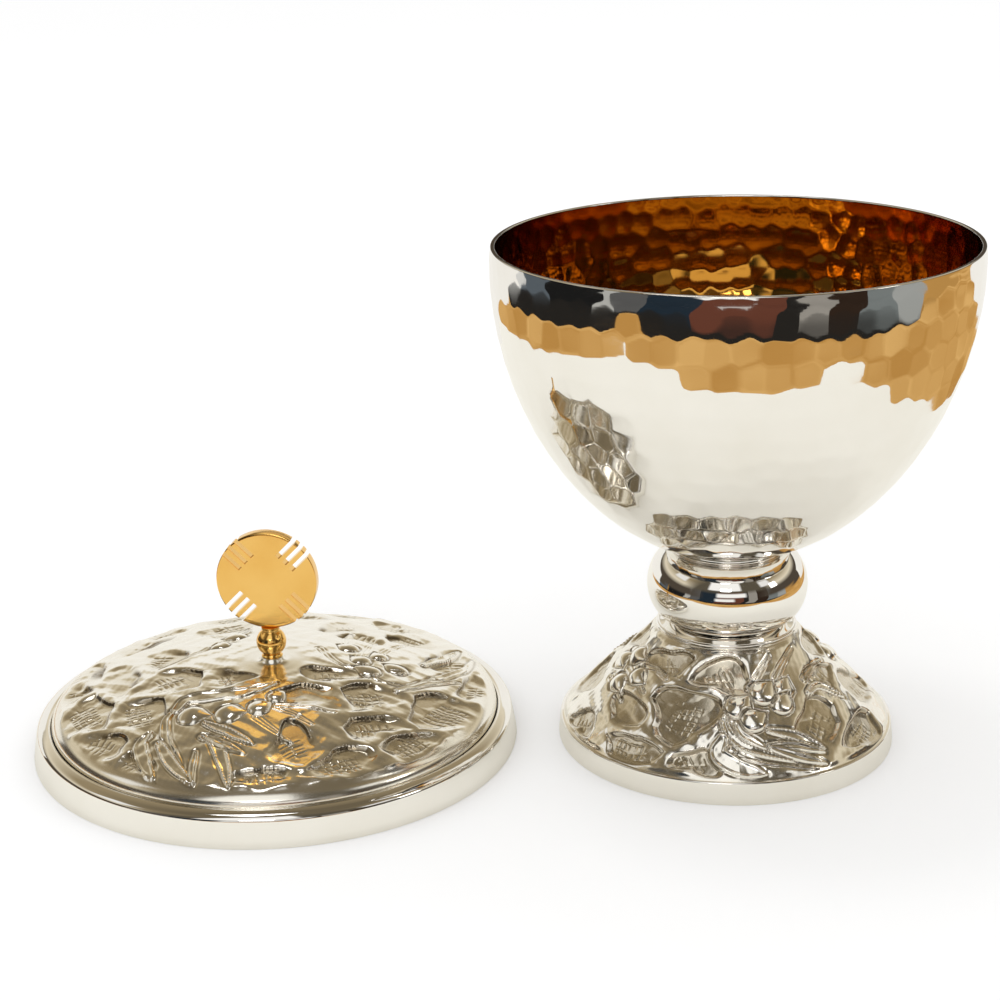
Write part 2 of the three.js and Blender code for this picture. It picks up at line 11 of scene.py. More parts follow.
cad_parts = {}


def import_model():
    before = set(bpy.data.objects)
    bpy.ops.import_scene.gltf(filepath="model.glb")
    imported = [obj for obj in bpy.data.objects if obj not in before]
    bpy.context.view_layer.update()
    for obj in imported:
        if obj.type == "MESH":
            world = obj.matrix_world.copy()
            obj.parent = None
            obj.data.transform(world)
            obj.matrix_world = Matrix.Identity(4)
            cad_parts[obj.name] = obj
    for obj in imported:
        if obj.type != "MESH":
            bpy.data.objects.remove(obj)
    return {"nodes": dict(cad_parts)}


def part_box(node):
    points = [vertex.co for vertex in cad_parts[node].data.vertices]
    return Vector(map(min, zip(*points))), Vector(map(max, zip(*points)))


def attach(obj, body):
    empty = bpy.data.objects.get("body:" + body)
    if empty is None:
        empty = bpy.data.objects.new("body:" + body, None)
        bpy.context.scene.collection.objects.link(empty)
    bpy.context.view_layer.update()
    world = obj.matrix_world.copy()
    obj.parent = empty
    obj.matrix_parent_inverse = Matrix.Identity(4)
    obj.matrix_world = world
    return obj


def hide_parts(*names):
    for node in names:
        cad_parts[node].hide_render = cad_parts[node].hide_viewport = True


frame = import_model()
scene = bpy.context.scene
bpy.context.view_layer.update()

MM = 0.001
WELD = 2e-6
CUP_X = (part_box("bowl")[0].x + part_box("bowl")[1].x) / 2 / MM
LID_X = (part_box("lid_band")[0].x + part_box("lid_band")[1].x) / 2 / MM
AXES = {"cup": CUP_X, "lid": LID_X}


# Shapes of the two halves

BOWL_RADIUS = 75.4
BOWL_DEPTH = 93.7
BOWL_POWER = 1.85
BOWL_WIDEST_Z = 157.8
BOWL_SEAT_RADIUS = 12.0
BOWL_SEAT_Z = 65.39
BOWL_WALL = 1.4
RIM_Z = 165.59
RIM_TUCK = 0.4
SKIN = 0.85
GILT_LAYER = 0.5
WALL_RINGS = 150
BACK_RINGS = 24
WALL_STEPS = 500

CONE_BOTTOM_Z = 7.5
CONE_HEIGHT = 31.1
CONE_BOTTOM_RADIUS = 53.4
CONE_TOP_RADIUS = 22.5
CONE_SWELL = 0.5

DOME_STEP_RADIUS = 72.0
DOME_STEP_Z = 15.1
DOME_RISE = 12.3
DOME_POWER = 1.5
FLARE_RADIUS = 7.2
STEP_TOP_RADIUS = 69.0


def smooth(low, high, value):
    t = np.clip((value - low) / (high - low), 0.0, 1.0)
    return t * t * (3.0 - 2.0 * t)


def even_steps(low, high, count):
    return [low + (high - low) * i / count for i in range(count + 1)]


def arc(centre_r, centre_z, radius, start, stop, count):
    """Points on an arc, angles in degrees from the outward radius towards +Z."""
    angles = [radians(degrees) for degrees in even_steps(start, stop, count)]
    return [(centre_r + radius * cos(a), centre_z + radius * sin(a)) for a in angles]


def swept(start, corner, end, count):
    """Points on a curve that leaves the start and meets the end towards the corner."""
    return [
        tuple(a * (1 - t) ** 2 + 2 * b * t * (1 - t) + c * t * t
              for a, b, c in zip(start, corner, end))
        for t in even_steps(0, 1, count)
    ]


# Modelling helpers

def deselect():
    if bpy.context.object and bpy.context.object.mode != "OBJECT":
        bpy.ops.object.mode_set(mode="OBJECT")
    bpy.ops.object.select_all(action="DESELECT")


def select(piece):
    deselect()
    piece.select_set(True)
    bpy.context.view_layer.objects.active = piece


def turn(name, outline, steps, axis_x, start=0.0, sweep=360.0):
    """A closed outline of (radius, height) points, carried round the upright axis."""
    deselect()
    bpy.ops.mesh.primitive_circle_add(vertices=len(outline), fill_type="NOTHING")
    piece = bpy.context.object
    piece.name = name
    piece.data.name = name
    first = radians(start)
    for vertex, (radius, height) in zip(piece.data.vertices, outline):
        vertex.co = (radius * cos(first) * MM, radius * sin(first) * MM, height * MM)
    screw = piece.modifiers.new("turn", "SCREW")
    screw.axis = "Z"
    screw.angle = radians(sweep)
    screw.steps = steps
    screw.use_merge_vertices = True
    screw.merge_threshold = WELD
    bpy.ops.object.modifier_apply(modifier="turn")
    bpy.ops.object.mode_set(mode="EDIT")
    bpy.ops.mesh.select_all(action="SELECT")
    bpy.ops.mesh.remove_doubles(threshold=WELD)
    bpy.ops.mesh.delete_loose()
    if sweep < 360:
        bpy.ops.mesh.select_all(action="SELECT")
        bpy.ops.mesh.fill_holes(sides=0)
    bpy.ops.mesh.select_all(action="SELECT")
    bpy.ops.mesh.normals_make_consistent(inside=False)
    bpy.ops.object.mode_set(mode="OBJECT")
    piece.location = (axis_x * MM, 0, 0)
    bpy.ops.object.transform_apply()
    return piece


def places(piece, axis_x):
    """Vertex places, the same from the half's own axis, and their distance from it."""
    flat = np.zeros(len(piece.data.vertices) * 3)
    piece.data.vertices.foreach_get("co", flat)
    points = flat.reshape(-1, 3) / MM
    local = points - (axis_x, 0, 0)
    return points, local, np.hypot(local[:, 0], local[:, 1])


def put_points(piece, points):
    piece.data.vertices.foreach_set("co", (points * MM).ravel())
    piece.data.update()


def finish_piece(piece, body, finish, *nodes, degrees=40):
    """Gives a piece its metal and its edges, joins it to its body and hides the nodes it stands
    for.
    """
    material, slot = finish
    piece.data.materials.clear()
    piece.data.materials.append(material)
    select(piece)
    bpy.ops.object.shade_smooth_by_angle(angle=radians(degrees))
    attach(piece, body)
    if nodes:
        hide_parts(*nodes)


def turned(name, outline, steps, body, finish, node, degrees=40):
    finish_piece(turn(name, outline, steps, AXES[body]), body, finish, node, degrees=degrees)


# Node helpers

def feed(tree, socket, value):
    """Links another node's socket in, or writes a colour or a number."""
    if isinstance(value, bpy.types.NodeSocket):
        tree.links.new(value, socket)
    else:
        socket.default_value = (*value, 1) if socket.type == "RGBA" else value


def add(tree, kind, inputs=None, **settings):
    """A node, its settings, and what goes into its sockets by name or by number."""
    node = tree.nodes.new("ShaderNode" + kind)
    for key, value in settings.items():
        setattr(node, key, value)
    for key, value in (inputs or {}).items():
        feed(tree, node.inputs[key], value)
    return node


def new_tree(owner):
    owner.use_nodes = True
    owner.node_tree.nodes.clear()
    return owner.node_tree


def spread(tree, source, low, high, out_low=0.0, out_high=1.0):
    """Carries one range of values over to another."""
    return add(tree, "MapRange", {
        "Value": source, "From Min": low, "From Max": high, "To Min": out_low, "To Max": out_high,
    }).outputs["Result"]


def mix_colours(tree, factor, first, second):
    node = add(tree, "Mix", data_type="RGBA")
    feed(tree, node.inputs["Factor"], factor)
    for socket, value in zip([s for s in node.inputs if s.type == "RGBA"], (first, second)):
        feed(tree, socket, value)
    return [s for s in node.outputs if s.type == "RGBA"][0]


def fade(tree, source, low, high, first, second):
    """One colour up to the low value, the other from the high one."""
    return mix_colours(tree, spread(tree, source, low, high), first, second)


def calculate(tree, operation, *values):
    return add(tree, "Math", dict(enumerate(values)), operation=operation).outputs[0]


def product(tree, first, *others):
    for other in others:
        first = calculate(tree, "MULTIPLY", first, other)
    return first


def coordinates(tree, scale=(1, 1, 1)):
    place = add(tree, "TexCoord").outputs["Object"]
    return add(tree, "Mapping", {"Scale": scale, "Vector": place}).outputs["Vector"]


def noise(tree, scale, detail, rough, stretch=(1, 1, 1)):
    place = coordinates(tree, stretch)
    inputs = {"Scale": scale, "Detail": detail, "Roughness": rough, "Vector": place}
    return add(tree, "TexNoise", inputs).outputs["Fac"]


# Finishes

def metal(name, build):
    """A metal from a function that gives its colour, roughness, fine height, depth and strength."""
    material = bpy.data.materials.new(name)
    tree = new_tree(material)
    colour, roughness, height, distance, strength = build(tree)
    bump = {"Strength": strength, "Distance": distance, "Height": height}
    normal = add(tree, "Bump", bump).outputs["Normal"]
    shader = add(tree, "BsdfPrincipled", {
        "Metallic": 1.0, "Base Color": colour, "Roughness": roughness, "Normal": normal})
    add(tree, "OutputMaterial", {"Surface": shader.outputs["BSDF"]})
    return material


def polished_silver(tree):
    cloud = spread(tree, noise(tree, 28, 4, 0.55), 0.35, 0.7)
    colour = mix_colours(tree, cloud, (0.93, 0.915, 0.885), (0.885, 0.865, 0.82))
    smear = noise(tree, 90, 5, 0.6, (1, 1, 2.5))
    roughness = spread(tree, smear, 0.3, 0.75, 0.025, 0.075)
    return colour, roughness, noise(tree, 240, 2, 0.5), 0.00001, 0.25


def satin_silver(tree):
    """Deeper ground is duller and warmer, and the foot of each wall, the grooves and the cut lines
    get a dark brown that is painted shade and patina.
    """
    relief = add(tree, "Attribute", attribute_name="relief")
    shade_and_patina = add(tree, "Attribute", attribute_name="shade_and_patina")
    level = spread(tree, relief.outputs["Fac"], -1.2, 0.5)
    ground_tone = mix_colours(tree, level, (0.8, 0.74, 0.61), (0.95, 0.925, 0.86))
    # painted shade with patina: dark brown where the relief's walls meet the ground, in grooves and
    # in cut lines
    colour = mix_colours(tree, shade_and_patina.outputs["Fac"], ground_tone, (0.2, 0.15, 0.085))
    roughness = spread(tree, level, 0, 1, 0.23, 0.14)
    return colour, roughness, noise(tree, 900, 3, 0.6), 0.00003, 0.35


def gilding(tree):
    """Paler towards the bottom of the bowl, deeper on the wall; the paler lower part is a painted
    reflection of light.
    """
    cloud = noise(tree, 40, 4, 0.55)
    place = add(tree, "SeparateXYZ", {0: coordinates(tree)})
    wall = spread(tree, place.outputs["Z"], 0.108, 0.136)
    # painted reflection: the gilding turns pale below the upper wall
    colour = mix_colours(tree, wall, (0.96, 0.64, 0.17), (0.6, 0.27, 0.04))
    roughness = spread(tree, cloud, 0.3, 0.75, 0.05, 0.13)
    return colour, roughness, noise(tree, 260, 3, 0.5), 0.00002, 0.3


def polished_gold(tree):
    cloud = noise(tree, 60, 4, 0.55)
    share = spread(tree, cloud, 0.35, 0.7)
    colour = mix_colours(tree, share, (0.92, 0.575, 0.175), (0.88, 0.52, 0.14))
    roughness = spread(tree, cloud, 0.3, 0.75, 0.1, 0.17)
    return colour, roughness, noise(tree, 1400, 2, 0.5), 0.00001, 0.2


def turned_brass(tree):
    rings = noise(tree, 300, 2, 0.5, (0.1, 0.1, 4))
    share = spread(tree, rings, 0.3, 0.7)
    colour = mix_colours(tree, share, (0.72, 0.58, 0.32), (0.62, 0.48, 0.24))
    return colour, spread(tree, rings, 0.3, 0.7, 0.28, 0.42), rings, 0.00002, 0.3


# Each finish and a slot name
SILVER = metal("polished silver", polished_silver), "mirror_silver"
SATIN = metal("satin chased silver", satin_silver), "satin_silver"
GILT = metal("hammered gilding", gilding), "polished_gold"
GOLD = metal("polished gold", polished_gold), "polished_gold"
BRASS = metal("turned brass", turned_brass), "turned_brass"


# Bowl

def bowl_curve(radius, depth, seat, rim_z, count):
    """Evenly spaced points from the flat seat up the wall to the rim."""
    start = asin(seat / radius)
    dense = []
    for angle in even_steps(start, pi / 2, 2000):
        r = radius * sin(angle)
        drop = depth * max(0.0, cos(angle)) ** (2 / BOWL_POWER)
        dense.append((r, BOWL_WIDEST_Z - drop))
    for t in even_steps(0, 1, 100)[1:]:
        dense.append((radius - RIM_TUCK * t * t, BOWL_WIDEST_Z + (rim_z - BOWL_WIDEST_Z) * t))
    dense = np.array(dense)
    length = np.r_[0, np.cumsum(np.hypot(*np.diff(dense, axis=0).T))]
    at = np.linspace(0, length[-1], count)
    return list(zip(np.interp(at, length, dense[:, 0]), np.interp(at, length, dense[:, 1])))


def seat_disc(radius, height, count):
    """Points from the axis out to just inside the seat's edge."""
    return [(radius * i / count, height) for i in range(count)]


def hammer_centres(curve, pitch, jitter, seed):
    """Where the hammer fell: staggered rings of blows, from the seat to the rim."""
    rng = np.random.default_rng(seed)
    curve = np.array(curve)
    length = np.r_[0, np.cumsum(np.hypot(*np.diff(curve, axis=0).T))]
    rings = int(length[-1] / pitch)
    centres = []
    for ring in range(rings + 1):
        along = length[-1] * ring / rings
        r, z = (np.interp(along, length, side) for side in curve.T)
        ahead = [np.interp(along + 1, length, side) for side in curve.T]
        slope = ahead[0] - r, ahead[1] - z
        count = max(3, round(2 * pi * r / pitch))
        for blow in range(count):
            angle = 2 * pi * (blow + 0.5 * (ring % 2)) / count
            angle += rng.normal(0, jitter) / max(r, pitch)
            drift = rng.normal(0, jitter)
            rr = max(r + drift * slope[0], 0.1)
            centres.append((rr * cos(angle), rr * sin(angle), z + drift * slope[1]))
    return np.array(centres)


def nearest(points, centres):
    """Distance from each point to the nearest centre."""
    best = np.full(len(points), 1e9)
    for start in range(0, len(points), 4000):
        chunk = points[start:start + 4000]
        gap = ((chunk[:, None, :] - centres[None, :, :]) ** 2).sum(2)
        best[start:start + 4000] = gap.min(1)
    return np.sqrt(best)


def wall_height(radius, widest, depth):
    """Height of a bowl wall's curve at each radius."""
    share = np.clip(radius / widest, 0, 1)
    return BOWL_WIDEST_Z - depth * (1 - share ** 2) ** (1 / BOWL_POWER)


def push_wall(piece, points, local, face, lift, widest, depth, side):
    """Moves one side of the bowl's wall along its normals."""
    x, y, z = local[face].T
    slope = np.minimum((z - BOWL_WIDEST_Z) / depth ** 2, 0)
    normal = side * np.stack([x / widest ** 2, y / widest ** 2, slope], 1)
    normal /= np.linalg.norm(normal, axis=1)[:, None]
    points[face] += normal * lift[:, None]
    put_points(piece, points)


def bowl_shell():
    outer = bowl_curve(BOWL_RADIUS, BOWL_DEPTH, BOWL_SEAT_RADIUS, RIM_Z - 0.3, WALL_RINGS)
    rim = BOWL_RADIUS - RIM_TUCK
    back = bowl_curve(
        BOWL_RADIUS - SKIN, BOWL_DEPTH - SKIN, BOWL_SEAT_RADIUS, RIM_Z - 1.0, BACK_RINGS)
    outline = (
        seat_disc(BOWL_SEAT_RADIUS, BOWL_SEAT_Z, 3)
        + outer
        + arc(rim - 0.3, RIM_Z - 0.3, 0.3, 30, 90, 2)
        + arc(rim - BOWL_WALL + 0.3, RIM_Z - 0.3, 0.3, 90, 180, 3)
        + [(rim - BOWL_WALL, RIM_Z - 0.6), (rim - SKIN, RIM_Z - 0.75)]
        + back[::-1]
        + [(0, BOWL_SEAT_Z + SKIN)]
    )
    piece = turn("bowl_shell", outline, WALL_STEPS, CUP_X)
    points, local, radius = places(piece, CUP_X)
    z = local[:, 2]
    low = (z < BOWL_WIDEST_Z) & (z < wall_height(radius, BOWL_RADIUS, BOWL_DEPTH) + 0.25)
    high = (z >= BOWL_WIDEST_Z) & (radius > BOWL_RADIUS - RIM_TUCK - 0.25)
    face = (low | high) & (z > BOWL_SEAT_Z + 0.6)
    gap = nearest(local[face], hammer_centres(outer, pitch=7.6, jitter=0.9, seed=5))
    lift = np.minimum(gap ** 2 / (2 * BOWL_RADIUS), 0.16) - 0.12
    lift *= smooth(RIM_Z, RIM_Z - 2.0, z[face])
    push_wall(piece, points, local, face, lift, BOWL_RADIUS, BOWL_DEPTH, 1)
    finish_piece(piece, "cup", SILVER, "bowl", degrees=60)


def bowl_gilding():
    widest = BOWL_RADIUS - BOWL_WALL
    depth = BOWL_DEPTH - BOWL_WALL
    seat = BOWL_SEAT_RADIUS - BOWL_WALL / 2
    floor_z = BOWL_SEAT_Z + BOWL_WALL
    inner = bowl_curve(widest, depth, seat, RIM_Z - 0.62, WALL_RINGS)
    back = bowl_curve(widest + GILT_LAYER, depth + GILT_LAYER, seat, RIM_Z - 0.8, BACK_RINGS)
    outline = (
        seat_disc(seat, floor_z - GILT_LAYER, 2)
        + back
        + inner[::-1]
        + seat_disc(seat, floor_z, 4)[::-1]
    )
    piece = turn("bowl_gilding", outline, WALL_STEPS, CUP_X)
    points, local, radius = places(piece, CUP_X)
    z = local[:, 2]
    low = (z < BOWL_WIDEST_Z) & (z > wall_height(radius, widest, depth) - 0.15)
    high = (z >= BOWL_WIDEST_Z) & (radius < widest + 0.1)
    face = low | high
    gap = nearest(local[face], hammer_centres(inner, pitch=6.8, jitter=1.1, seed=11))
    lift = np.maximum(0.12 - 2.2 * gap ** 2 / (2 * widest), -0.2)
    lift *= smooth(RIM_Z - 0.6, RIM_Z - 3.5, z[face])
    push_wall(piece, points, local, face, lift, widest, depth, -1)
    finish_piece(piece, "cup", GILT, degrees=60)


# Stem

KNOP_CORE = 16.0
KNOP_BULGE = 9.9
KNOP_HALF = 12.45
KNOP_CENTRE_Z = 53.44
KNOP_BOTTOM_Z = 41.1
KNOP_TOP_Z = 64.89
KNOP_WALL = 1.5


def knop_wall(bulge, half, low, high, count):
    """An upright half ellipse round the knop's core, between two heights."""
    start, stop = (asin(np.clip((z - KNOP_CENTRE_Z) / half, -1, 1)) for z in (low, high))
    return [(KNOP_CORE + bulge * cos(a), KNOP_CENTRE_Z + half * sin(a))
            for a in even_steps(start, stop, count)]


def knop():
    low, high, wall = KNOP_BOTTOM_Z, KNOP_TOP_Z, KNOP_WALL
    outline = (
        [(3.15, low)]
        + knop_wall(KNOP_BULGE, KNOP_HALF, low, high, 64)
        + [(11.55, high), (11.55, high - wall)]
        + knop_wall(KNOP_BULGE - wall, KNOP_HALF - wall, low + wall, high - wall, 16)[::-1]
        + [(3.15, low + wall)]
    )
    turned("knop_bulb", outline, 192, "cup", SILVER, "knop")


def upper_collar():
    base = KNOP_TOP_Z
    neck = 17.3
    outline = (
        [(11.85, base), (neck, base)]
        + arc(17.6, base + 0.6, 0.6, -90, 90, 12)
        + [(neck, base + 1.2)]
        + [(r, float(wall_height(r, BOWL_RADIUS, BOWL_DEPTH)) - 0.3) for r in (neck, 14.6, 11.85)]
    )
    turned("collar_ring", outline, 160, "cup", SILVER, "upper_collar")


def thread(name, body, node, radius, low, high, pitch):
    """A rod whose surface is a run of even grooves, with chamfered ends."""
    bottom, top = low + 0.35, high - 0.35
    count = int((top - bottom) / pitch)
    outline = [(0, low), (radius - 0.35, low), (radius, bottom)]
    for groove in range(count):
        start = bottom + groove * pitch
        outline += [(radius, start + pitch * 0.2), (radius - pitch * 0.45, start + pitch * 0.55),
                    (radius, start + pitch * 0.9)]
    outline += [(radius, top), (radius - 0.35, high), (0, high)]
    turned(name, outline, 48, body, BRASS, node, degrees=25)


def washer(name, body, node, inner, outer, low, high):
    outline = [(inner, low), (outer - 0.2, low), (outer, low + 0.2), (outer, high - 0.2),
               (outer - 0.2, high), (inner, high)]
    turned(name, outline, 96, body, BRASS, node, degrees=25)


def nut(name, body, node, flats, inner, low, high):
    """A six-sided nut, its corners turned down at both faces."""
    corner = flats / sqrt(3)
    outline = [(inner, low), (flats / 2, low), (corner, low + 0.45), (corner, high - 0.45),
               (flats / 2, high), (inner, high)]
    axis_x = AXES[body]
    piece = turn(name, outline, 96, axis_x)
    points, local, radius = places(piece, axis_x)
    angle = np.arctan2(local[:, 1], local[:, 0])
    sector = (angle + pi / 6) % (pi / 3) - pi / 6
    limit = flats / 2 / np.cos(sector)
    share = np.minimum(1, limit / np.maximum(radius, 0.1))
    outside = radius > inner + 0.1
    points[outside, 0] = axis_x + local[outside, 0] * share[outside]
    points[outside, 1] = local[outside, 1] * share[outside]
    put_points(piece, points)
    finish_piece(piece, body, BRASS, node, degrees=25)


def fasteners():
    thread("tie_rod_threaded", "cup", "tie_rod", radius=3.0, low=30.6, high=63.59, pitch=1.0)
    washer("foot_washer_turned", "cup", "foot_washer", inner=3.2, outer=9.0, low=36.6, high=38.1)
    nut("foot_nut_hexagon", "cup", "foot_nut", flats=11.0, inner=3.05, low=32.1, high=36.6)
    thread("finial_stud_threaded", "lid", "finial_stud",
           radius=1.5, low=21.211, high=34.211, pitch=0.6)
    washer("lid_washer_turned", "lid", "lid_washer", inner=1.65, outer=5.4, low=25.01, high=26.01)
    nut("lid_nut_hexagon", "lid", "lid_nut", flats=6.0, inner=1.55, low=22.21, high=25.01)


def foot_cap():
    ridge = 22.2
    ridge_z = 39.7
    seat_z = 41.1
    slope = (seat_z - ridge_z) / (ridge - 17.31)
    outline = (
        [(3.15, 38.1), (19.9, 38.1), (19.9, 38.6), (22.3, 38.6), (22.55, 38.75)]
        + [(22.8, 39.1), (22.62, 39.25)]
        + arc(ridge, ridge_z, 0.6, -20, 80, 8)
        + [(21.75, ridge_z + 0.18), (21.5, ridge_z + slope * 0.7)]
        + [(20.4, ridge_z + slope * 1.8 + 0.05), (19.0, ridge_z + slope * 3.2 + 0.05)]
        + [(17.31, seat_z), (3.15, seat_z)]
    )
    turned("foot_cap_ring", outline, 192, "cup", SILVER, "foot_cap", degrees=50)


def foot_band():
    outline = (
        [(53.1, 0.0), (54.6, 0.0), (54.9, 0.12), (55.0, 0.45)]
        + [(54.95, 1.6), (54.8, 3.2), (54.62, 5.0)]
        + arc(53.85, 6.95, 0.55, 5, 90, 6)
        + [(50.8, 7.5), (50.8, 6.2), (53.1, 5.55)]
    )
    turned("foot_band_ring", outline, 256, "cup", SILVER, "foot_band", degrees=35)


# Lid

def lid_band():
    outline = (
        [(79.9, 0.0), (80.8, 0.0), (81.05, 0.1), (81.1, 0.4)]
        + [(80.75, 2.6), (80.3, 5.2), (79.75, 8.2)]
        + swept((79.68, 8.6), (79.3, 10.1), (76.9, 10.62), 14)
        + swept((76.9, 10.62), (75.2, 11.1), (74.9, 10.2), 10)[1:]
        + [(74.9, 8.8), (78.3, 8.8), (78.3, 8.2)]
    )
    turned("lid_band_ring", outline, 288, "lid", SILVER, "lid_band", degrees=35)


def lid_flange():
    outline = [
        (71.6, 2.1), (71.75, 1.85), (72.1, 1.8), (72.45, 1.9), (72.7, 2.3), (72.8, 2.8),
        (72.8, 9.2), (71.6, 9.2),
    ]
    turned("lid_flange_ring", outline, 256, "lid", SILVER, "lid_flange")


def finial_ball():
    centre = 34.13
    outline = (
        [(0, 34.51), (1.65, 34.51), (1.65, 29.01), (3.5, 29.01), (3.55, 29.25), (3.1, 29.6)]
        + [(3.0, 29.95)]
        + arc(0, centre, 5.0, -51, 51, 40)
        + [(3.0, 38.3), (2.95, 38.75), (3.1, 39.2), (3.1, 39.556), (0, 39.556)]
    )
    turned("finial_ball_turned", outline, 96, "lid", GOLD, "finial_ball")


# The disc is made lying down, then stood up
DISC_RADIUS = 16.8
DISC_HALF = 2.0
DISC_CENTRE_Z = 56.207
DISC_TURN = -5.4
SLOT_WIDTH = 1.6
SLOT_PITCH = 3.07
SLOT_START = 8.9
FOOT_FLAT = 0.45
CUTTER_HEIGHT = 12


def worn_edge(piece):
    """The front edge is filed rounder below and above than at the sides."""
    points, _, radius = places(piece, 0)
    downward = -points[:, 1] / np.maximum(radius, 0.1)
    wide = 0.35 + 1.5 * smooth(0.72, 0.98, downward) + 0.55 * smooth(0.6, 0.95, -downward)
    share = np.clip((radius - (DISC_RADIUS - wide)) / wide, 0, 1)
    drop = 0.55 * wide * (1 - np.sqrt(1 - share ** 2 * 0.96))
    front = points[:, 2] > DISC_HALF - 0.05
    points[front, 2] -= drop[front]
    put_points(piece, points)


def saw_cuts():
    """Four groups of three slots on the diagonals, and the flat at the foot, as one cutter."""
    deselect()
    cutters = []
    length = DISC_RADIUS - SLOT_START + 2
    for group in range(4):
        angle = pi / 4 + group * pi / 2
        for slot in (-1, 0, 1):
            along = SLOT_START + length / 2
            across = slot * SLOT_PITCH
            x = along * cos(angle) - across * sin(angle)
            y = along * sin(angle) + across * cos(angle)
            bpy.ops.mesh.primitive_cube_add(
                size=1, location=(x * MM, y * MM, 0), rotation=(0, 0, angle))
            cutters.append(bpy.context.object)
            cutters[-1].scale = (length * MM, SLOT_WIDTH * MM, CUTTER_HEIGHT * MM)
    bpy.ops.mesh.primitive_cube_add(size=1, location=(0, (FOOT_FLAT - DISC_RADIUS - 5) * MM, 0))
    cutters.append(bpy.context.object)
    cutters[-1].scale = (20 * MM, 10 * MM, CUTTER_HEIGHT * MM)
    for cutter in cutters:
        cutter.select_set(True)
    bpy.ops.object.transform_apply()
    bpy.ops.object.join()
    return bpy.context.object


def finial_disc():
    edge = DISC_RADIUS
    rings = [(r, DISC_HALF) for r in even_steps(edge - 3.0, edge - 0.04, 24)][::-1]
    outline = (
        [(0, -DISC_HALF), (edge - 0.3, -DISC_HALF)]
        + arc(edge - 0.3, -DISC_HALF + 0.3, 0.3, -90, 0, 4)[1:]
        + [(edge, 0.6), (edge, 1.0)]
        + rings
        + [(edge - 6, DISC_HALF), (0, DISC_HALF)]
    )
    piece = turn("finial_disc_sawn", outline, 160, 0)
    worn_edge(piece)
    cutter = saw_cuts()
    select(piece)
    cut = piece.modifiers.new("saw cuts", "BOOLEAN")
    cut.operation = "DIFFERENCE"
    cut.solver = "EXACT"
    cut.use_self = True
    cut.object = cutter
    bpy.ops.object.modifier_apply(modifier="saw cuts")
    bpy.data.objects.remove(cutter)
    piece.rotation_euler = (pi / 2, 0, radians(DISC_TURN))
    piece.location = (LID_X * MM, 0, DISC_CENTRE_Z * MM)
    bpy.ops.object.transform_apply()
    finish_piece(piece, "lid", GOLD, "finial_disc", degrees=30)


# Chased relief of the lid's dome and of the foot's cone

# Each cell: bearing in degrees, share of the way up the flank, half length, half width, turn in
# degrees, and how its floor is worked: 0 smooth, 1 hatched one way, 2 in a grid
LID_CELLS = [
    (178, 0.09, 9, 4, 0, 1), (-159, 0.15, 10, 7, 0, 2),
    (-140, 0.11, 6.5, 5.5, 0, 1), (-144, 0.36, 9.5, 6, -20, 2),
    (-124, 0.09, 5.5, 3.8, 0, 1), (178, 0.33, 8.5, 6.5, 12, 0),
    (-165, 0.59, 8, 6.5, -85, 1), (-142, 0.83, 6.5, 4.6, 50, 1),
    (-57, 0.69, 7.5, 5.5, -48, 0), (-31, 0.51, 8, 6.5, -48, 2),
    (-23, 0.77, 7, 4.5, -60, 1), (-45, 0.3, 8.5, 5.5, -35, 1),
    (-76, 0.3, 8, 6, -84, 1), (-64, 0.13, 8, 5.5, 0, 2),
    (-87, 0.1, 6.5, 3.8, 0, 1), (-42, 0.11, 8, 5.5, 0, 2),
    (-21, 0.16, 10, 8, -9, 2), (-2, 0.08, 7, 3.8, 0, 1),
    (16, 0.18, 7.5, 5.5, -20, 1), (40, 0.25, 7, 5.5, 10, 2),
    (62, 0.42, 7, 5.5, 15, 1),
]
LID_BACK_ROWS = [(0.12, 7), (0.42, 3)]
LID_BACK_FROM, LID_BACK_TO = 50, 170
LID_BACK_CELL = (7.5, 5.5, 0)

# Each grain: bearing, share, half length, half width and turn
LID_GRAINS = [
    (-80, 0.73, 3.6, 3.2, 40), (-91, 0.64, 4.6, 4.0, 36),
    (-106, 0.57, 5.6, 4.7, 21), (-123, 0.5, 5.8, 4.8, 28),
    (-4, 0.62, 5, 3.6, 74), (11, 0.66, 4.5, 3.4, 39),
    (34, 0.67, 4.5, 3.4, 26), (18, 0.55, 4, 3.2, 12),
    (3, 0.48, 5, 3.6, 57), (121, 0.62, 4.5, 3.4, -20),
    (139, 0.69, 4, 3.2, -10),
]

# Leaves as half width, beaded edge or not, and points across the lid in millimetres from its axis
LID_LEAVES = [
    (2.4, False, (-35.1, -40.5), (-36.9, -46.2), (-34.4, -55.2), (-30.2, -65.4)),
    (1.7, False, (-29.3, -29.7), (-30.6, -35.1), (-29.2, -44.4), (-25.9, -51.8), (-21.7, -59.6)),
    (2.2, True, (-31.0, -46.6), (-25.0, -58.4), (-17.5, -68.5)),
    (1.1, False, (-18.4, -52.8), (-18.2, -62.3), (-17.1, -68.5)),
    (2.1, True, (-17.3, -45.5), (-13.2, -48.5), (-8.7, -60.1), (-6.2, -70.0)),
    (1.8, True, (-17.2, -38.5), (-9.1, -43.7), (-1.0, -50.0)),
    (1.5, False, (-15.7, -45.7), (-9.3, -50.4), (-3.1, -54.8)),
    (2.8, False, (-28.0, -28.5), (-25.0, -23.5), (-17.0, -22.8), (-7.0, -21.8), (3.0, -17.0)),
    (1.6, False, (46.7, -9.2), (54.6, -0.3), (63.2, 11.9), (66.0, 24.0)),
    (1.4, False, (42.3, -13.5), (53.5, -3.6), (62.3, 0.5)),
    (2.0, True, (50.0, 9.9), (56.0, 19.0), (61.0, 30.0)),
]
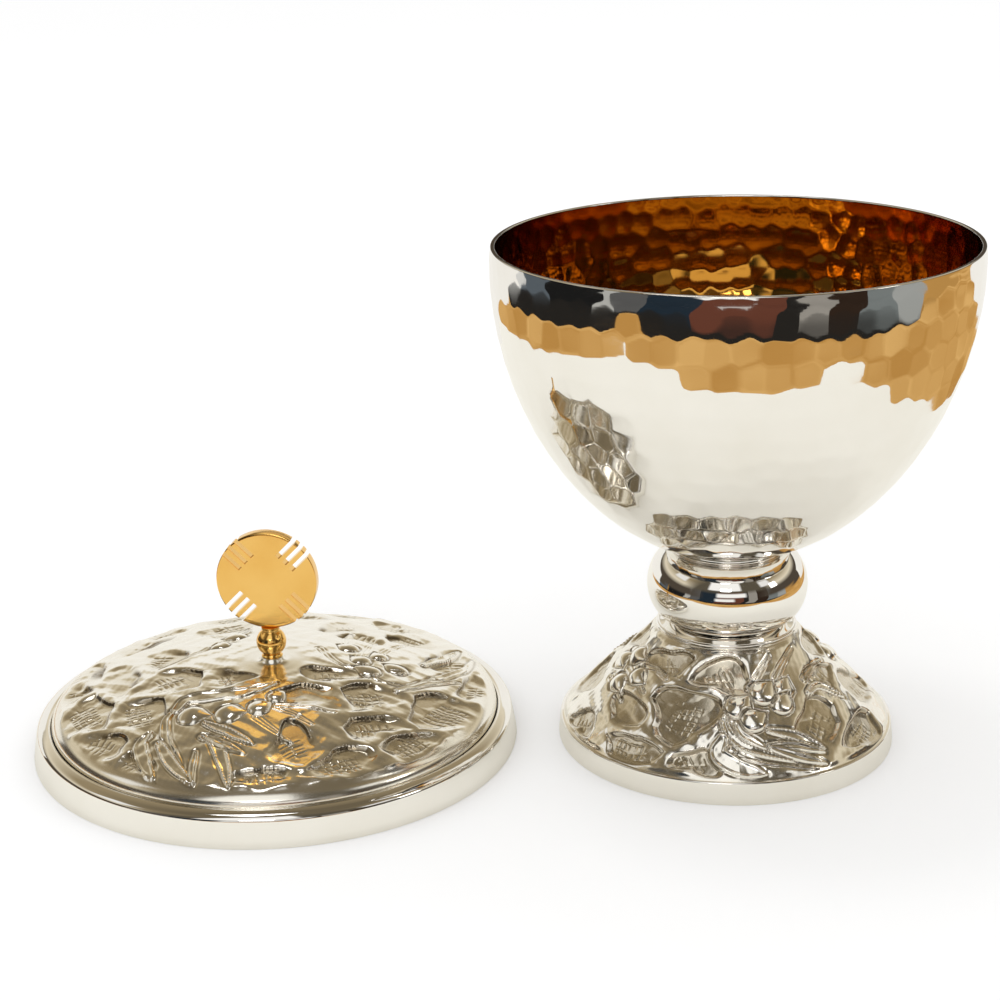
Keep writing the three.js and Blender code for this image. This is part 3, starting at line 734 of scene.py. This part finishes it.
LID_AWNS = [
    ((3.2, -30.5), (10.4, -34.2), (16.6, -39.4)), ((-1.3, -36.4), (5.7, -43.9), (10.6, -48.2)),
    ((4.2, -29.5), (12.9, -30.0), (23.3, -31.7)),
    ((14.1, 13.1), (22.5, 0.3), (29.9, -3.1), (37.3, -8.7), (46.8, -11.1)),
    ((34.5, 12.5), (38.0, 20.0), (43.0, 27.0)), ((28.0, 8.0), (30.0, 17.0), (33.0, 25.0)),
    ((23.0, 18.0), (22.0, 26.0), (24.0, 34.0)),
    ((-13.2, 38.7), (-19.3, 24.1), (-28.0, 12.8), (-39.2, 3.9)),
    ((-11.8, 33.1), (-18.8, 28.3), (-28.7, 35.3)),
]

# The foot's forms come twice, half a turn apart
FOOT_CELLS = [
    (-161, 0.12, 5.5, 3, 0, 1), (-136, 0.82, 6, 3.8, 10, 1),
    (-142, 0.38, 6.5, 4.5, 0, 0), (-116, 0.47, 7.5, 7, 80, 2),
    (-131, 0.14, 8, 3.6, 0, 2), (-106, 0.14, 6, 3.4, 0, 1),
    (-97, 0.79, 6.5, 4.4, 0, 1), (-51, 0.37, 7.5, 5.5, 30, 2),
    (-32, 0.15, 8, 3.8, 0, 2), (-32, 0.62, 6.5, 4.2, 0, 1),
    (-8, 0.36, 7.5, 5, -20, 2), (-9, 0.82, 5.5, 3.8, 0, 0),
]
FOOT_GRAINS = [
    (-60.5, 0.66, 4.2, 3.4, 50), (-65.5, 0.556, 4.6, 3.7, 45),
    (-73.6, 0.656, 5.0, 4.1, 42), (-88.1, 0.566, 5.0, 4.2, 48),
    (-81.6, 0.46, 4.8, 4.1, 30), (-164, 0.74, 4.6, 3.6, 10),
    (-175, 0.62, 4.8, 3.7, -10), (-150, 0.62, 4.4, 3.6, -10),
    (-160, 0.5, 4.8, 3.8, -20),
]

# Leaves and awns of the foot by bearing and height above the table
FOOT_LEAVES = [
    (1.6, True, (-93.6, 23.7), (-95.3, 21.4), (-92.2, 18.0), (-85.6, 15.1), (-69.7, 11.1)),
    (1.3, False, (-90.4, 20.9), (-87.5, 18.3), (-78.9, 14.8)),
    (2.8, False, (-96.0, 17.5), (-97.5, 13.8), (-90.0, 10.8), (-81.0, 9.0)),
    (1.7, True, (-76.1, 19.0), (-66.1, 17.0), (-55.8, 12.5)),
    (1.4, False, (-77.6, 15.6), (-67.6, 14.8), (-56.5, 11.6)),
    (1.4, False, (-77.1, 15.0), (-67.2, 12.0), (-58.0, 9.0)),
    (1.5, True, (-47.7, 25.3), (-38.0, 25.6), (-28.3, 20.3)),
]
FOOT_AWNS = [
    ((-81.2, 29.3), (-72.0, 33.0), (-63.0, 36.0)), ((-64.0, 30.8), (-52.0, 34.0), (-39.7, 36.0)),
    ((-45.7, 28.3), (-31.2, 29.8), (-17.6, 29.2)), ((-90.0, 14.0), (-80.7, 12.0), (-63.8, 8.6)),
    ((-152.8, 29.8), (-142.0, 30.5), (-131.5, 29.1)),
    ((-163.2, 27.1), (-152.0, 26.5), (-140.5, 24.3)),
    ((-169.7, 22.5), (-160.0, 22.0), (-151.5, 20.4)),
]

FACE_DEPTH = 0.4
CELL_DEPTH = 1.4
CELL_LIMIT = 1.22
CELL_GROWTH = 1.7
RIB_WIDTH = 3.2
RIB_RISE = 0.35
GRAIN_RISE = 0.38
LEAF_RISE = 0.55
AWN_RISE = 0.4
GRID_PITCH = 2.1
GRID_DEPTH = 0.22
STROKE_WIDTH = 0.27
BEAD_PITCH = 1.3


def dome_z(radius):
    return DOME_STEP_Z + DOME_RISE * (1 - (radius / DOME_STEP_RADIUS) ** DOME_POWER)


def cone_radius(height):
    t = (height - CONE_BOTTOM_Z) / CONE_HEIGHT
    span = CONE_BOTTOM_RADIUS - CONE_TOP_RADIUS
    return CONE_BOTTOM_RADIUS - span * t + CONE_SWELL * np.sin(2 * pi * t)


CONE_LEAN = atan2(CONE_HEIGHT, CONE_BOTTOM_RADIUS - CONE_TOP_RADIUS)


def on_dome(bearing, share, length, width, *rest):
    """A form with its place across the lid and the direction of the rim there."""
    angle = radians(bearing)
    radius = DOME_STEP_RADIUS - (DOME_STEP_RADIUS - FLARE_RADIUS) * share
    x, y = radius * cos(angle), radius * sin(angle)
    return x, y, length, width, angle + pi / 2, *rest


def on_cone(middle, bearing, share, length, width, *rest):
    """A form with its place on the flat cone and the direction of the rim there."""
    x, y, swing = unroll(bearing, CONE_BOTTOM_Z + CONE_HEIGHT * share, middle)
    return x, y, length, width, swing, *rest


def lid_back_cells():
    """Uneven rows of pockets on the back of the lid."""
    return [
        (bearing + 7 * sin(2.1 * k), share + 0.05 * sin(3.7 * k + 1),
         *LID_BACK_CELL, 1 + k % 2)
        for share, count in LID_BACK_ROWS
        for k, bearing in enumerate(even_steps(LID_BACK_FROM, LID_BACK_TO, count - 1))
    ]


def unroll(bearing, height, middle):
    """The cone of the foot laid flat, with one bearing pointing straight up."""
    swing = np.radians((np.asarray(bearing) - middle + 180) % 360 - 180) * cos(CONE_LEAN)
    slant = cone_radius(np.asarray(height)) / cos(CONE_LEAN)
    return slant * np.sin(swing), -slant * np.cos(swing), swing


def measured(flat, form):
    """Nearby points, their places along and across one form, and how far up from its middle."""
    x, y, length, width, rim, turn = form
    near = np.flatnonzero(np.hypot(flat[:, 0] - x, flat[:, 1] - y) < 2.4 * max(length, width))
    dx, dy = flat[near, 0] - x, flat[near, 1] - y
    tilt = rim + radians(turn)
    along = dx * cos(tilt) + dy * sin(tilt)
    across = dy * cos(tilt) - dx * sin(tilt)
    upward = dy * cos(rim) - dx * sin(rim)
    return near, along, across, upward


def lines(place, pitch):
    """Narrow cut lines a pitch apart."""
    return np.exp(-(((place / pitch) % 1 - 0.5) * pitch / STROKE_WIDTH) ** 2)


def hatching(along, across, length, width, kind, sway):
    """A patch of freehand strokes, crossed by more of them in a grid."""
    drift = 0.35 * np.sin(0.45 * along + sway[0]) + 0.25 * np.sin(0.6 * across + sway[1])
    lean = 0.35 + 0.3 * sin(sway[2])
    strokes = lines(along * cos(lean) + across * sin(lean) + drift, GRID_PITCH)
    crossing = across * cos(lean / 2) - along * sin(lean / 2) + drift
    crossed = lines(crossing, GRID_PITCH * 1.1)
    if kind == 1:
        crossed *= np.abs(across + 0.25 * width) < GRID_PITCH * 0.6
    patch = smooth(0.8, 0.62, np.abs(along / length + 0.12))
    patch *= smooth(0.72, 0.55, np.abs(across / width + 0.2))
    return np.maximum(strokes, crossed) * patch


def sunken_cells(flat, cells, rng, soft):
    """Pockets with smooth ground between them; soft opens the lower side of each."""
    count = len(flat)
    first, second = np.full(count, 9.0), np.full(count, 9.0)
    reach, rear, bead, cut, tilt = np.ones(count), *np.zeros((4, count))
    for *form, kind in cells:
        near, along, across, upward = measured(flat, form)
        length, width = form[2], form[3]
        sway = rng.uniform(0, 2 * pi, 3)
        power = rng.uniform(1.3, 2.0) + 0.5 * (1 - soft)
        around = np.arctan2(across / width, along / length)
        level = (np.abs(along) / length) ** power + (np.abs(across) / width) ** power
        level = level ** (1 / power)
        level *= 1 + 0.07 * np.sin(2 * around + sway[0]) + 0.14 * np.sin(3 * around + sway[1])
        away = np.hypot(along, across)
        closer = level < first[near]
        second[near] = np.where(closer, first[near], np.minimum(second[near], level))
        here = near[closer]
        first[here] = level[closer]
        radial = away / np.maximum(level, 0.2)
        reach[here] = (width + (radial - width) * smooth(0.3, 0.8, level))[closer]
        rear[here] = (upward / np.maximum(away, 0.5) * smooth(0.25, 0.6, level))[closer]
        bead[here] = np.cos(along * 2 * pi / BEAD_PITCH)[closer]
        tilt[here] = np.clip(upward / width, -1, 1.2)[closer]
        cut[here] = hatching(along, across, length, width, kind, sway)[closer] if kind else 0
    edge = np.minimum((second - first) / 2, CELL_GROWTH - first) * reach - RIB_WIDTH / 2
    lean = 1.5 - 0.6 * rear + soft * (1.3 - 1.55 * rear - 0.9 * np.minimum(rear, 0))
    wall = smooth(-0.35, 1, edge / lean)
    dish = smooth(0, 5.0, edge)
    depth = CELL_DEPTH * (0.82 - 0.2 * soft + (0.1 + 0.28 * soft) * tilt)
    crown = RIB_RISE * (1 - smooth(-RIB_WIDTH / 2, 1.6, edge))
    height = crown - depth * (0.8 * wall + 0.2 * dish)
    height -= GRID_DEPTH * cut * smooth(0.8, 2.0, edge)
    height += 0.09 * (1 + bead) * np.exp(-((edge - 0.2) / 0.35) ** 2) * smooth(0.35, 0.75, rear)
    # painted shade with patina: dark along the foot of each pocket's walls, strongest on the upper
    # walls, and in the cut lines
    shade_and_patina = np.exp(-((edge - 0.45 * lean) / (0.3 + 0.35 * lean)) ** 2)
    shade_and_patina *= 0.35 * (1 - soft) + (0.45 + 0.45 * soft) * smooth(0.0, 0.6, rear)
    shade_and_patina = np.maximum(shade_and_patina, 0.16 * (1 - soft) * wall)
    return height, np.maximum(shade_and_patina, 0.3 * cut * smooth(0.8, 2.0, edge))


def raised_grain(flat, height, shade_and_patina, form):
    """A plump grain, pointed at one end, set apart by a narrow groove."""
    near, along, across, _ = measured(flat, form)
    length, width = form[2:4]
    share = along / length
    taper = 1.05 - 0.8 * np.clip(share, 0, 1) ** 1.5 + 0.1 * np.clip(-share, 0, 1)
    level = np.hypot(share, across / (width * taper))
    body = GRAIN_RISE * width * np.clip(1 - level ** 2, 0, 1) ** 0.8 * (1 - 0.35 * share)
    groove = np.exp(-((level - 1.03) * width / 0.4) ** 2)
    cover = smooth(1.12, 0.96, level)
    height[near] = height[near] * (1 - cover) + body * cover - 0.2 * groove
    # painted shade with patina in the groove round the grain
    shade_and_patina[near] = np.maximum(shade_and_patina[near] * (1 - cover), 0.5 * groove)


def gap_to(flat, points):
    """Distance to a smooth line through the points, and the share of its length."""
    points = np.array(points, dtype=float)
    dense = []
    padded = np.vstack([2 * points[0] - points[1], points, 2 * points[-1] - points[-2]])
    for a, b, c, d in zip(padded, padded[1:], padded[2:], padded[3:]):
        for t in np.arange(0, 1, 0.125):
            dense.append(0.5 * (2 * b + (c - a) * t + (2 * a - 5 * b + 4 * c - d) * t * t
                                + (3 * b - a - 3 * c + d) * t ** 3))
    dense = np.vstack([dense, points[-1]])
    low, high = dense.min(0) - 5, dense.max(0) + 5
    near = np.flatnonzero(((flat > low) & (flat < high)).all(1))
    step = np.diff(dense, axis=0)
    size = np.hypot(step[:, 0], step[:, 1])
    start = np.r_[0, np.cumsum(size)]
    best = np.full(len(near), 1e9)
    run = np.zeros(len(near))
    for k in range(len(step)):
        offset = flat[near] - dense[k]
        t = np.clip((offset @ step[k]) / size[k] ** 2, 0, 1)
        gap = np.hypot(*(offset - t[:, None] * step[k]).T)
        closer = gap < best
        best[closer] = gap[closer]
        run[closer] = (start[k] + t * size[k])[closer]
    return near, best, run, start[-1]


def raised_leaf(flat, height, shade_and_patina, half_width, beaded, points):
    """A blade between two fine rolled edges, one of them beaded."""
    near, gap, run, total = gap_to(flat, points)
    share = run / total
    width = half_width * np.sqrt(np.clip(np.sin(pi * (0.12 + 0.88 * share)), 0.02, 1))
    depth = width - gap
    body = LEAF_RISE * smooth(-0.5, 0.5, depth) - 0.22 * smooth(0.6, 1.4, depth)
    roll = 0.22 * np.exp(-((depth - 0.35) / 0.32) ** 2)
    if beaded:
        roll *= 1 + 0.7 * np.cos(2 * pi * run / BEAD_PITCH)
    groove = np.exp(-((depth + 0.6) / 0.4) ** 2)
    cover = smooth(-0.6, 0.0, depth)
    height[near] = height[near] * (1 - cover) + (body + roll) * cover - 0.2 * groove
    # painted shade with patina in the groove beside the leaf
    shade_and_patina[near] = np.maximum(shade_and_patina[near] * (1 - cover), 0.4 * groove)


def raised_awn(flat, height, points):
    """Two fine bristles side by side that come together at the tip."""
    near, gap, run, total = gap_to(flat, points)
    apart = 0.75 * (1 - run / total) + 0.15
    ridge = np.exp(-((gap - apart) / 0.34) ** 2)
    cover = 0.8 * smooth(apart + 1.1, apart + 0.3, gap)
    height[near] = height[near] * (1 - cover) + AWN_RISE * ridge * cover


def hand_work(flat):
    """The slight unevenness that chasing by hand leaves."""
    x, y = flat[:, 0], flat[:, 1]
    wide = np.sin(0.5 * x + 1.3 * np.sin(0.31 * y)) * np.sin(0.56 * y + 1.1 * np.sin(0.27 * x))
    return 0.2 * wide + 0.02 * np.sin(1.9 * x + 0.7 * y) * np.sin(1.6 * y - 0.8 * x)


def chased_height(flat, cells, grains, leaves, awns, seed, soft):
    height, shade_and_patina = sunken_cells(flat, cells, np.random.default_rng(seed), soft)
    for points in awns:
        raised_awn(flat, height, points)
    for half_width, beaded, *points in leaves:
        raised_leaf(flat, height, shade_and_patina, half_width, beaded, points)
    for form in grains:
        raised_grain(flat, height, shade_and_patina, form)
    return np.maximum(height + hand_work(flat), -CELL_LIMIT), np.clip(shade_and_patina, 0, 1)


def dome_outline(rings):
    outer = swept((74.6, 10.6), (74.3, 14.5), (STEP_TOP_RADIUS, dome_z(STEP_TOP_RADIUS)), 16)
    outer += [(r, dome_z(r)) for r in even_steps(STEP_TOP_RADIUS, FLARE_RADIUS, rings)[1:]]
    outer += [(FLARE_RADIUS - 3.6 * sqrt(t), dome_z(FLARE_RADIUS) + 2.0 * t * t)
              for t in even_steps(0, 1, 6)[1:]]
    under = [(r, min(dome_z(r) - 1.4, 26.0)) for r in even_steps(13.5, 70.6, 11)]
    return (
        [(72.95, 9.2), (72.95, 8.8), (74.6, 8.8)]
        + outer
        + [(1.65, 29.011), (1.65, 26.01), (7.2, 26.01)]
        + under[:-1]
        + [(70.6, 13.0), (73.2, 10.4), (71.6, 10.4), (71.6, 9.2)]
    )


def lid_dome_part(number, start, sweep, steps, rings):
    piece = turn(f"lid_dome_chased_{number}", dome_outline(rings), steps, LID_X, start, sweep)
    points, local, radius = places(piece, LID_X)
    edge = DOME_STEP_RADIUS
    on_top = local[:, 2] > dome_z(np.clip(radius, 0, edge)) - FACE_DEPTH
    face = on_top & (radius > FLARE_RADIUS + 0.1) & (radius < edge)
    ground, reach = local[face], radius[face]
    cells = [on_dome(*form) for form in LID_CELLS + lid_back_cells()]
    grains = [on_dome(*form) for form in LID_GRAINS]
    lift, shade_and_patina = chased_height(
        ground[:, :2], cells, grains, LID_LEAVES, LID_AWNS, seed=3, soft=1.0)
    lift *= smooth(8.5, 16, reach) * smooth(edge, edge - 2, reach)
    fall = DOME_RISE * DOME_POWER / edge * np.sqrt(reach / edge)
    outward = ground[:, :2] / reach[:, None]
    normal = np.column_stack([outward * fall[:, None], np.ones(len(ground))])
    raise_face(piece, points, face, normal, lift, shade_and_patina)
    finish_piece(piece, "lid", SATIN, "lid_dome", degrees=80)


def raise_face(piece, points, face, normal, lift, shade_and_patina):
    """Moves the worked face along its normals and keeps what the finish reads."""
    normal /= np.linalg.norm(normal, axis=1)[:, None]
    points[face] += normal * lift[:, None]
    put_points(piece, points)
    for name, values in (("relief", lift), ("shade_and_patina", shade_and_patina)):
        kept = np.zeros(len(points), dtype=np.float32)
        kept[face] = values
        attribute = piece.data.attributes.new(name, "FLOAT", "POINT")
        attribute.data.foreach_set("value", kept)


def lid_dome():
    """Three fine parts in front and a coarser one behind."""
    for number in range(3):
        lid_dome_part(number + 1, -180 + 60 * number, sweep=60, steps=250, rings=290)
    lid_dome_part(4, start=0, sweep=180, steps=420, rings=200)


def cone_outline(rings):
    heights = even_steps(CONE_BOTTOM_Z, CONE_BOTTOM_Z + CONE_HEIGHT, rings)
    outer = [(float(cone_radius(z)), z) for z in heights]
    under = [(20.3 + 31.13 * t, 37.2 - 29.7 * t) for t in even_steps(0, 1, 10)]
    return outer + [(20.3, 38.6)] + under


def foot_cone_part(number, start, sweep, steps, rings):
    piece = turn(f"foot_cone_chased_{number}", cone_outline(rings), steps, CUP_X, start, sweep)
    points, local, radius = places(piece, CUP_X)
    face = radius > cone_radius(local[:, 2]) - FACE_DEPTH
    ground, reach = local[face], radius[face]
    z = ground[:, 2]
    middle = start + sweep / 2
    x, y, _ = unroll(np.degrees(np.arctan2(ground[:, 1], ground[:, 0])), z, middle)
    cells, grains, leaves, awns = [], [], [], []
    for front in (middle, middle - 180):
        cells += [on_cone(front, *form) for form in FOOT_CELLS]
        grains += [on_cone(front, *form) for form in FOOT_GRAINS]
        leaves += [(half_width, beaded, *[unroll(*spot, front)[:2] for spot in spots])
                   for half_width, beaded, *spots in FOOT_LEAVES]
        awns += [[unroll(*spot, front)[:2] for spot in spots] for spots in FOOT_AWNS]
    flat = np.stack([x, y], 1)
    lift, shade_and_patina = chased_height(flat, cells, grains, leaves, awns, seed=8, soft=0.0)
    top = CONE_BOTTOM_Z + CONE_HEIGHT
    lift *= smooth(CONE_BOTTOM_Z, CONE_BOTTOM_Z + 1.5, z) * smooth(top, top - 1.6, z)
    outward = ground[:, :2] / reach[:, None]
    normal = np.column_stack([outward, np.full(len(ground), 1 / tan(CONE_LEAN))])
    raise_face(piece, points, face, normal, lift, shade_and_patina)
    finish_piece(piece, "cup", SATIN, "foot_cone", degrees=80)


def foot_cone():
    foot_cone_part(1, start=-180, sweep=90, steps=320, rings=210)
    foot_cone_part(2, start=-90, sweep=90, steps=320, rings=210)
    foot_cone_part(3, start=0, sweep=180, steps=460, rings=190)


# Camera, light and floor

CAMERA_PLACE = (0.0152, -0.62186, 0.29648)
CAMERA_YAW = -0.0543
CAMERA_PITCH = 0.3599
CAMERA_ROLL = -0.0328
FOCAL_PIXELS = 2036.1
PICTURE_PIXELS = 1000
SENSOR_WIDTH = 36


def camera():
    ahead = Vector((sin(CAMERA_YAW) * cos(CAMERA_PITCH),
                    cos(CAMERA_YAW) * cos(CAMERA_PITCH), -sin(CAMERA_PITCH)))
    level = Vector((cos(CAMERA_YAW), -sin(CAMERA_YAW), 0))
    above = level.cross(ahead)
    right = level * cos(CAMERA_ROLL) + above * sin(CAMERA_ROLL)
    up = above * cos(CAMERA_ROLL) - level * sin(CAMERA_ROLL)
    data = bpy.data.cameras.new("camera")
    data.sensor_width = SENSOR_WIDTH
    data.lens = FOCAL_PIXELS * SENSOR_WIDTH / PICTURE_PIXELS
    data.shift_x = 0.07
    data.shift_y = 0.06
    data.clip_start = 0.01
    data.clip_end = 50
    viewer = bpy.data.objects.new("camera", data)
    scene.collection.objects.link(viewer)
    turn_matrix = Matrix((right, up, -ahead)).transposed().to_4x4()
    viewer.matrix_world = Matrix.Translation(CAMERA_PLACE) @ turn_matrix
    scene.camera = viewer


# What polished metal mirrors: a white sheet on a tan table, in a dark room with a white wall behind
SHEET_LEFT, SHEET_RIGHT, SHEET_FRONT = -0.25, 0.305, -0.24
TABLE_LEFT, TABLE_FRONT = -0.44, -0.44
TABLE_CORNER = 0.2
TABLE_SLANT = 0.755
SHEET_COLOUR = (0.97, 0.95, 0.875)
TABLE_COLOUR = (0.76, 0.46, 0.165)
TABLE_DARK = (0.52, 0.27, 0.07)
SHADE_COLOUR = (0.02, 0.018, 0.016)
ROOM_STARTS = 0.62
AMBIENT = 0.9
LAMP_TARGET = (0, 0, 0.05)
FLOOR_GREY = 0.95
FLOOR_GLOW = 0.12
HIGH_COLOUR = (0.8, 0.72, 0.56)
HIGHER_COLOUR = (0.31, 0.245, 0.145)
CEILING_COLOUR = (0.15, 0.12, 0.075)
FRONT_COLOUR = (0.1, 0.085, 0.06)
BEHIND_COLOUR = (0.075, 0.06, 0.045)
CARD_COLOUR = (0.93, 0.91, 0.86)
CARD_PLACE = 0.42
CARD_HEIGHT = 0.2
CARD_HALF_WIDTH = 0.75

# Light boxes by direction: from and to in degrees from straight in front, from and to as the sine
# of the height above the horizon, and brightness
BOXES = [
    (-34, 16, 0.44, 0.955, 1.0), (-22, 5, -0.03, 0.1, 0.95),
    (-20, 22, 0.16, 0.32, 1.0), (48, 66, 0.45, 0.66, 0.85),
    (-100, -76, 0.5, 0.74, 0.85),
]

# Stripes of the room by direction: degrees from straight in front of the table, and colour
ROOM = [
    (-180, (0.95, 0.95, 0.94)), (-128, (0.7, 0.7, 0.68)),
    (-117, (0.1, 0.12, 0.14)), (-96, (0.012, 0.012, 0.012)),
    (-67, (0.45, 0.45, 0.43)), (-59, (0.1, 0.1, 0.1)),
    (-44, (0.016, 0.026, 0.038)), (-19, (0.13, 0.045, 0.028)),
    (17, (0.02, 0.018, 0.016)), (24, (0.3, 0.28, 0.25)),
    (37, (0.03, 0.018, 0.012)), (54, (0.18, 0.2, 0.2)),
    (70, (0.34, 0.35, 0.34)), (84, (0.5, 0.27, 0.075)),
    (126, (0.95, 0.95, 0.94)),
]


def room_stripes(tree, direction):
    quarter = {"Rotation": (0, 0, pi / 2), "Vector": direction}
    swung = add(tree, "Mapping", quarter).outputs["Vector"]
    wheel = add(tree, "TexGradient", {"Vector": swung}, gradient_type="RADIAL")
    ramp = add(tree, "ValToRGB", {"Fac": wheel.outputs["Fac"]})
    ramp.color_ramp.interpolation = "CONSTANT"
    stops = ramp.color_ramp.elements
    for number, (degrees, colour) in enumerate(ROOM):
        place = degrees / 360 + 0.5
        stop = stops[number] if number < 2 else stops.new(place)
        stop.position = place
        stop.color = (*colour, 1)
    return ramp.outputs["Color"]


def light_box(tree, bearing, height, colour, left, right, low, high, strength):
    """A white box on top of a colour, between two directions and two heights."""
    left, right, soft = radians(left), radians(right), radians(2)
    share = product(
        tree,
        spread(tree, bearing, left - soft, left + soft),
        spread(tree, bearing, right + soft, right - soft),
        spread(tree, height, low - 0.02, low + 0.02),
        spread(tree, height, high + 0.03, high - 0.03),
    )
    return mix_colours(tree, share, colour, (strength, strength * 0.99, strength * 0.97))


def world():
    """Plain light for the object and a white background; polished metal sees the room."""
    studio = bpy.data.worlds.new("studio")
    scene.world = studio
    tree = new_tree(studio)
    direction = add(tree, "TexCoord").outputs["Generated"]
    x, y, height = add(tree, "SeparateXYZ", {0: direction}).outputs
    high = fade(tree, height, 0.4, 0.62, HIGH_COLOUR, HIGHER_COLOUR)
    high = fade(tree, height, 0.66, 0.92, high, CEILING_COLOUR)
    high = fade(tree, y, -0.25, -0.55, high, FRONT_COLOUR)
    aside = spread(tree, calculate(tree, "ABSOLUTE", x), 0.6, 0.85)
    aside = product(tree, aside, spread(tree, height, 0.02, 0.1))
    dark = calculate(tree, "MAXIMUM", aside, spread(tree, y, 0.05, 0.3))
    low = mix_colours(tree, dark, room_stripes(tree, direction), BEHIND_COLOUR)
    mirrored = fade(tree, height, 0.28, 0.42, low, high)
    bearing = calculate(tree, "ARCTAN2", x, calculate(tree, "MULTIPLY", y, -1.0))
    for box in BOXES:
        mirrored = light_box(tree, bearing, height, mirrored, *box)
    path = add(tree, "LightPath").outputs
    plain = mix_colours(tree, path["Is Camera Ray"], (AMBIENT,) * 3, (1.0, 1.0, 1.0))
    colour = mix_colours(tree, path["Is Glossy Ray"], plain, mirrored)
    background = add(tree, "Background", {"Color": colour, "Strength": 1.0})
    add(tree, "OutputWorld", {"Surface": background.outputs["Background"]})


def floor_colour(tree):
    """White sheet inside, tan table round it, shade beyond the table's edge."""
    place = add(tree, "TexCoord").outputs["Object"]
    x, y, _ = add(tree, "SeparateXYZ", {0: place}).outputs
    on_sheet = product(
        tree,
        calculate(tree, "GREATER_THAN", x, SHEET_LEFT),
        calculate(tree, "LESS_THAN", x, SHEET_RIGHT),
        calculate(tree, "GREATER_THAN", y, SHEET_FRONT),
    )
    slant = product(tree, calculate(tree, "SUBTRACT", x, TABLE_CORNER), TABLE_SLANT)
    on_table = product(
        tree,
        calculate(tree, "GREATER_THAN", x, TABLE_LEFT),
        calculate(tree, "GREATER_THAN", y, TABLE_FRONT),
        calculate(tree, "GREATER_THAN", calculate(tree, "SUBTRACT", y, slant), TABLE_FRONT),
    )
    grain = add(tree, "TexNoise", {"Scale": 7, "Detail": 6, "Vector": place})
    wood = fade(tree, grain.outputs["Fac"], 0.32, 0.62, TABLE_COLOUR, TABLE_DARK)
    away = add(tree, "VectorMath", {0: place}, operation="LENGTH").outputs["Value"]
    far = spread(tree, away, ROOM_STARTS, ROOM_STARTS * 1.25)
    room = mix_colours(tree, far, SHADE_COLOUR, room_stripes(tree, place))
    outer = mix_colours(tree, on_table, room, wood)
    return mix_colours(tree, on_sheet, outer, SHEET_COLOUR)


def stage_plane(name, size, place, rotation, scale, build):
    """A plane of the studio, with a surface from a function of its tree and the light path."""
    deselect()
    bpy.ops.mesh.primitive_plane_add(size=size, location=place, rotation=rotation)
    plane = bpy.context.object
    plane.name = name
    plane.scale = scale
    bpy.ops.object.transform_apply()
    material = bpy.data.materials.new(name)
    tree = new_tree(material)
    surface = build(tree, add(tree, "LightPath").outputs)
    add(tree, "OutputMaterial", {"Surface": surface.outputs["Shader"]})
    plane.data.materials.append(material)


def pale_floor(tree, path):
    colour = mix_colours(tree, path["Is Glossy Ray"], (FLOOR_GREY,) * 3, floor_colour(tree))
    matt = add(tree, "BsdfDiffuse", {"Color": colour}).outputs["BSDF"]
    glow = {"Color": (FLOOR_GLOW,) * 3, "Strength": path["Is Camera Ray"]}
    glow = add(tree, "Emission", glow).outputs["Emission"]
    return add(tree, "AddShader", {0: matt, 1: glow})


def white_card(tree, path):
    """Only polished metal shows it."""
    clear = add(tree, "BsdfTransparent").outputs["BSDF"]
    glow = add(tree, "Emission", {"Color": CARD_COLOUR}).outputs["Emission"]
    return add(tree, "MixShader", {0: path["Is Glossy Ray"], 1: clear, 2: glow})


def stage():
    stage_plane("floor", 8, (0, 0, 0), (0, 0, 0), (1, 1, 1), pale_floor)
    stage_plane("white card", 2, (0, CARD_PLACE, CARD_HEIGHT / 2), (pi / 2, 0, 0),
                (CARD_HALF_WIDTH, CARD_HEIGHT / 2, 1), white_card)


def lamp(name, place, width, height, power):
    """A soft box that faces the object."""
    data = bpy.data.lights.new(name, "AREA")
    data.shape = "RECTANGLE"
    data.size = width
    data.size_y = height
    data.energy = power
    box = bpy.data.objects.new(name, data)
    scene.collection.objects.link(box)
    box.location = place
    box.rotation_euler = (Vector(LAMP_TARGET) - Vector(place)).to_track_quat("-Z", "Y").to_euler()


def lamps():
    lamp("window", (-0.25, -2.6, 1.45), width=0.75, height=0.35, power=4)
    lamp("side window", (2.3, -0.9, 1.1), width=0.5, height=0.5, power=2.5)
    lamp("skylight", (-0.35, 0.35, 2.3), width=0.5, height=0.5, power=3.5)


scene.view_settings.view_transform = "Standard"
camera()
world()
stage()
lamps()

bowl_shell()
bowl_gilding()
knop()
upper_collar()
foot_cap()
foot_cone()
foot_band()
lid_band()
lid_flange()
lid_dome()
finial_ball()
finial_disc()
fasteners()

frame["nodes"]["bowl_boss"].data.materials.clear()
frame["nodes"]["bowl_boss"].data.materials.append(BRASS[0])
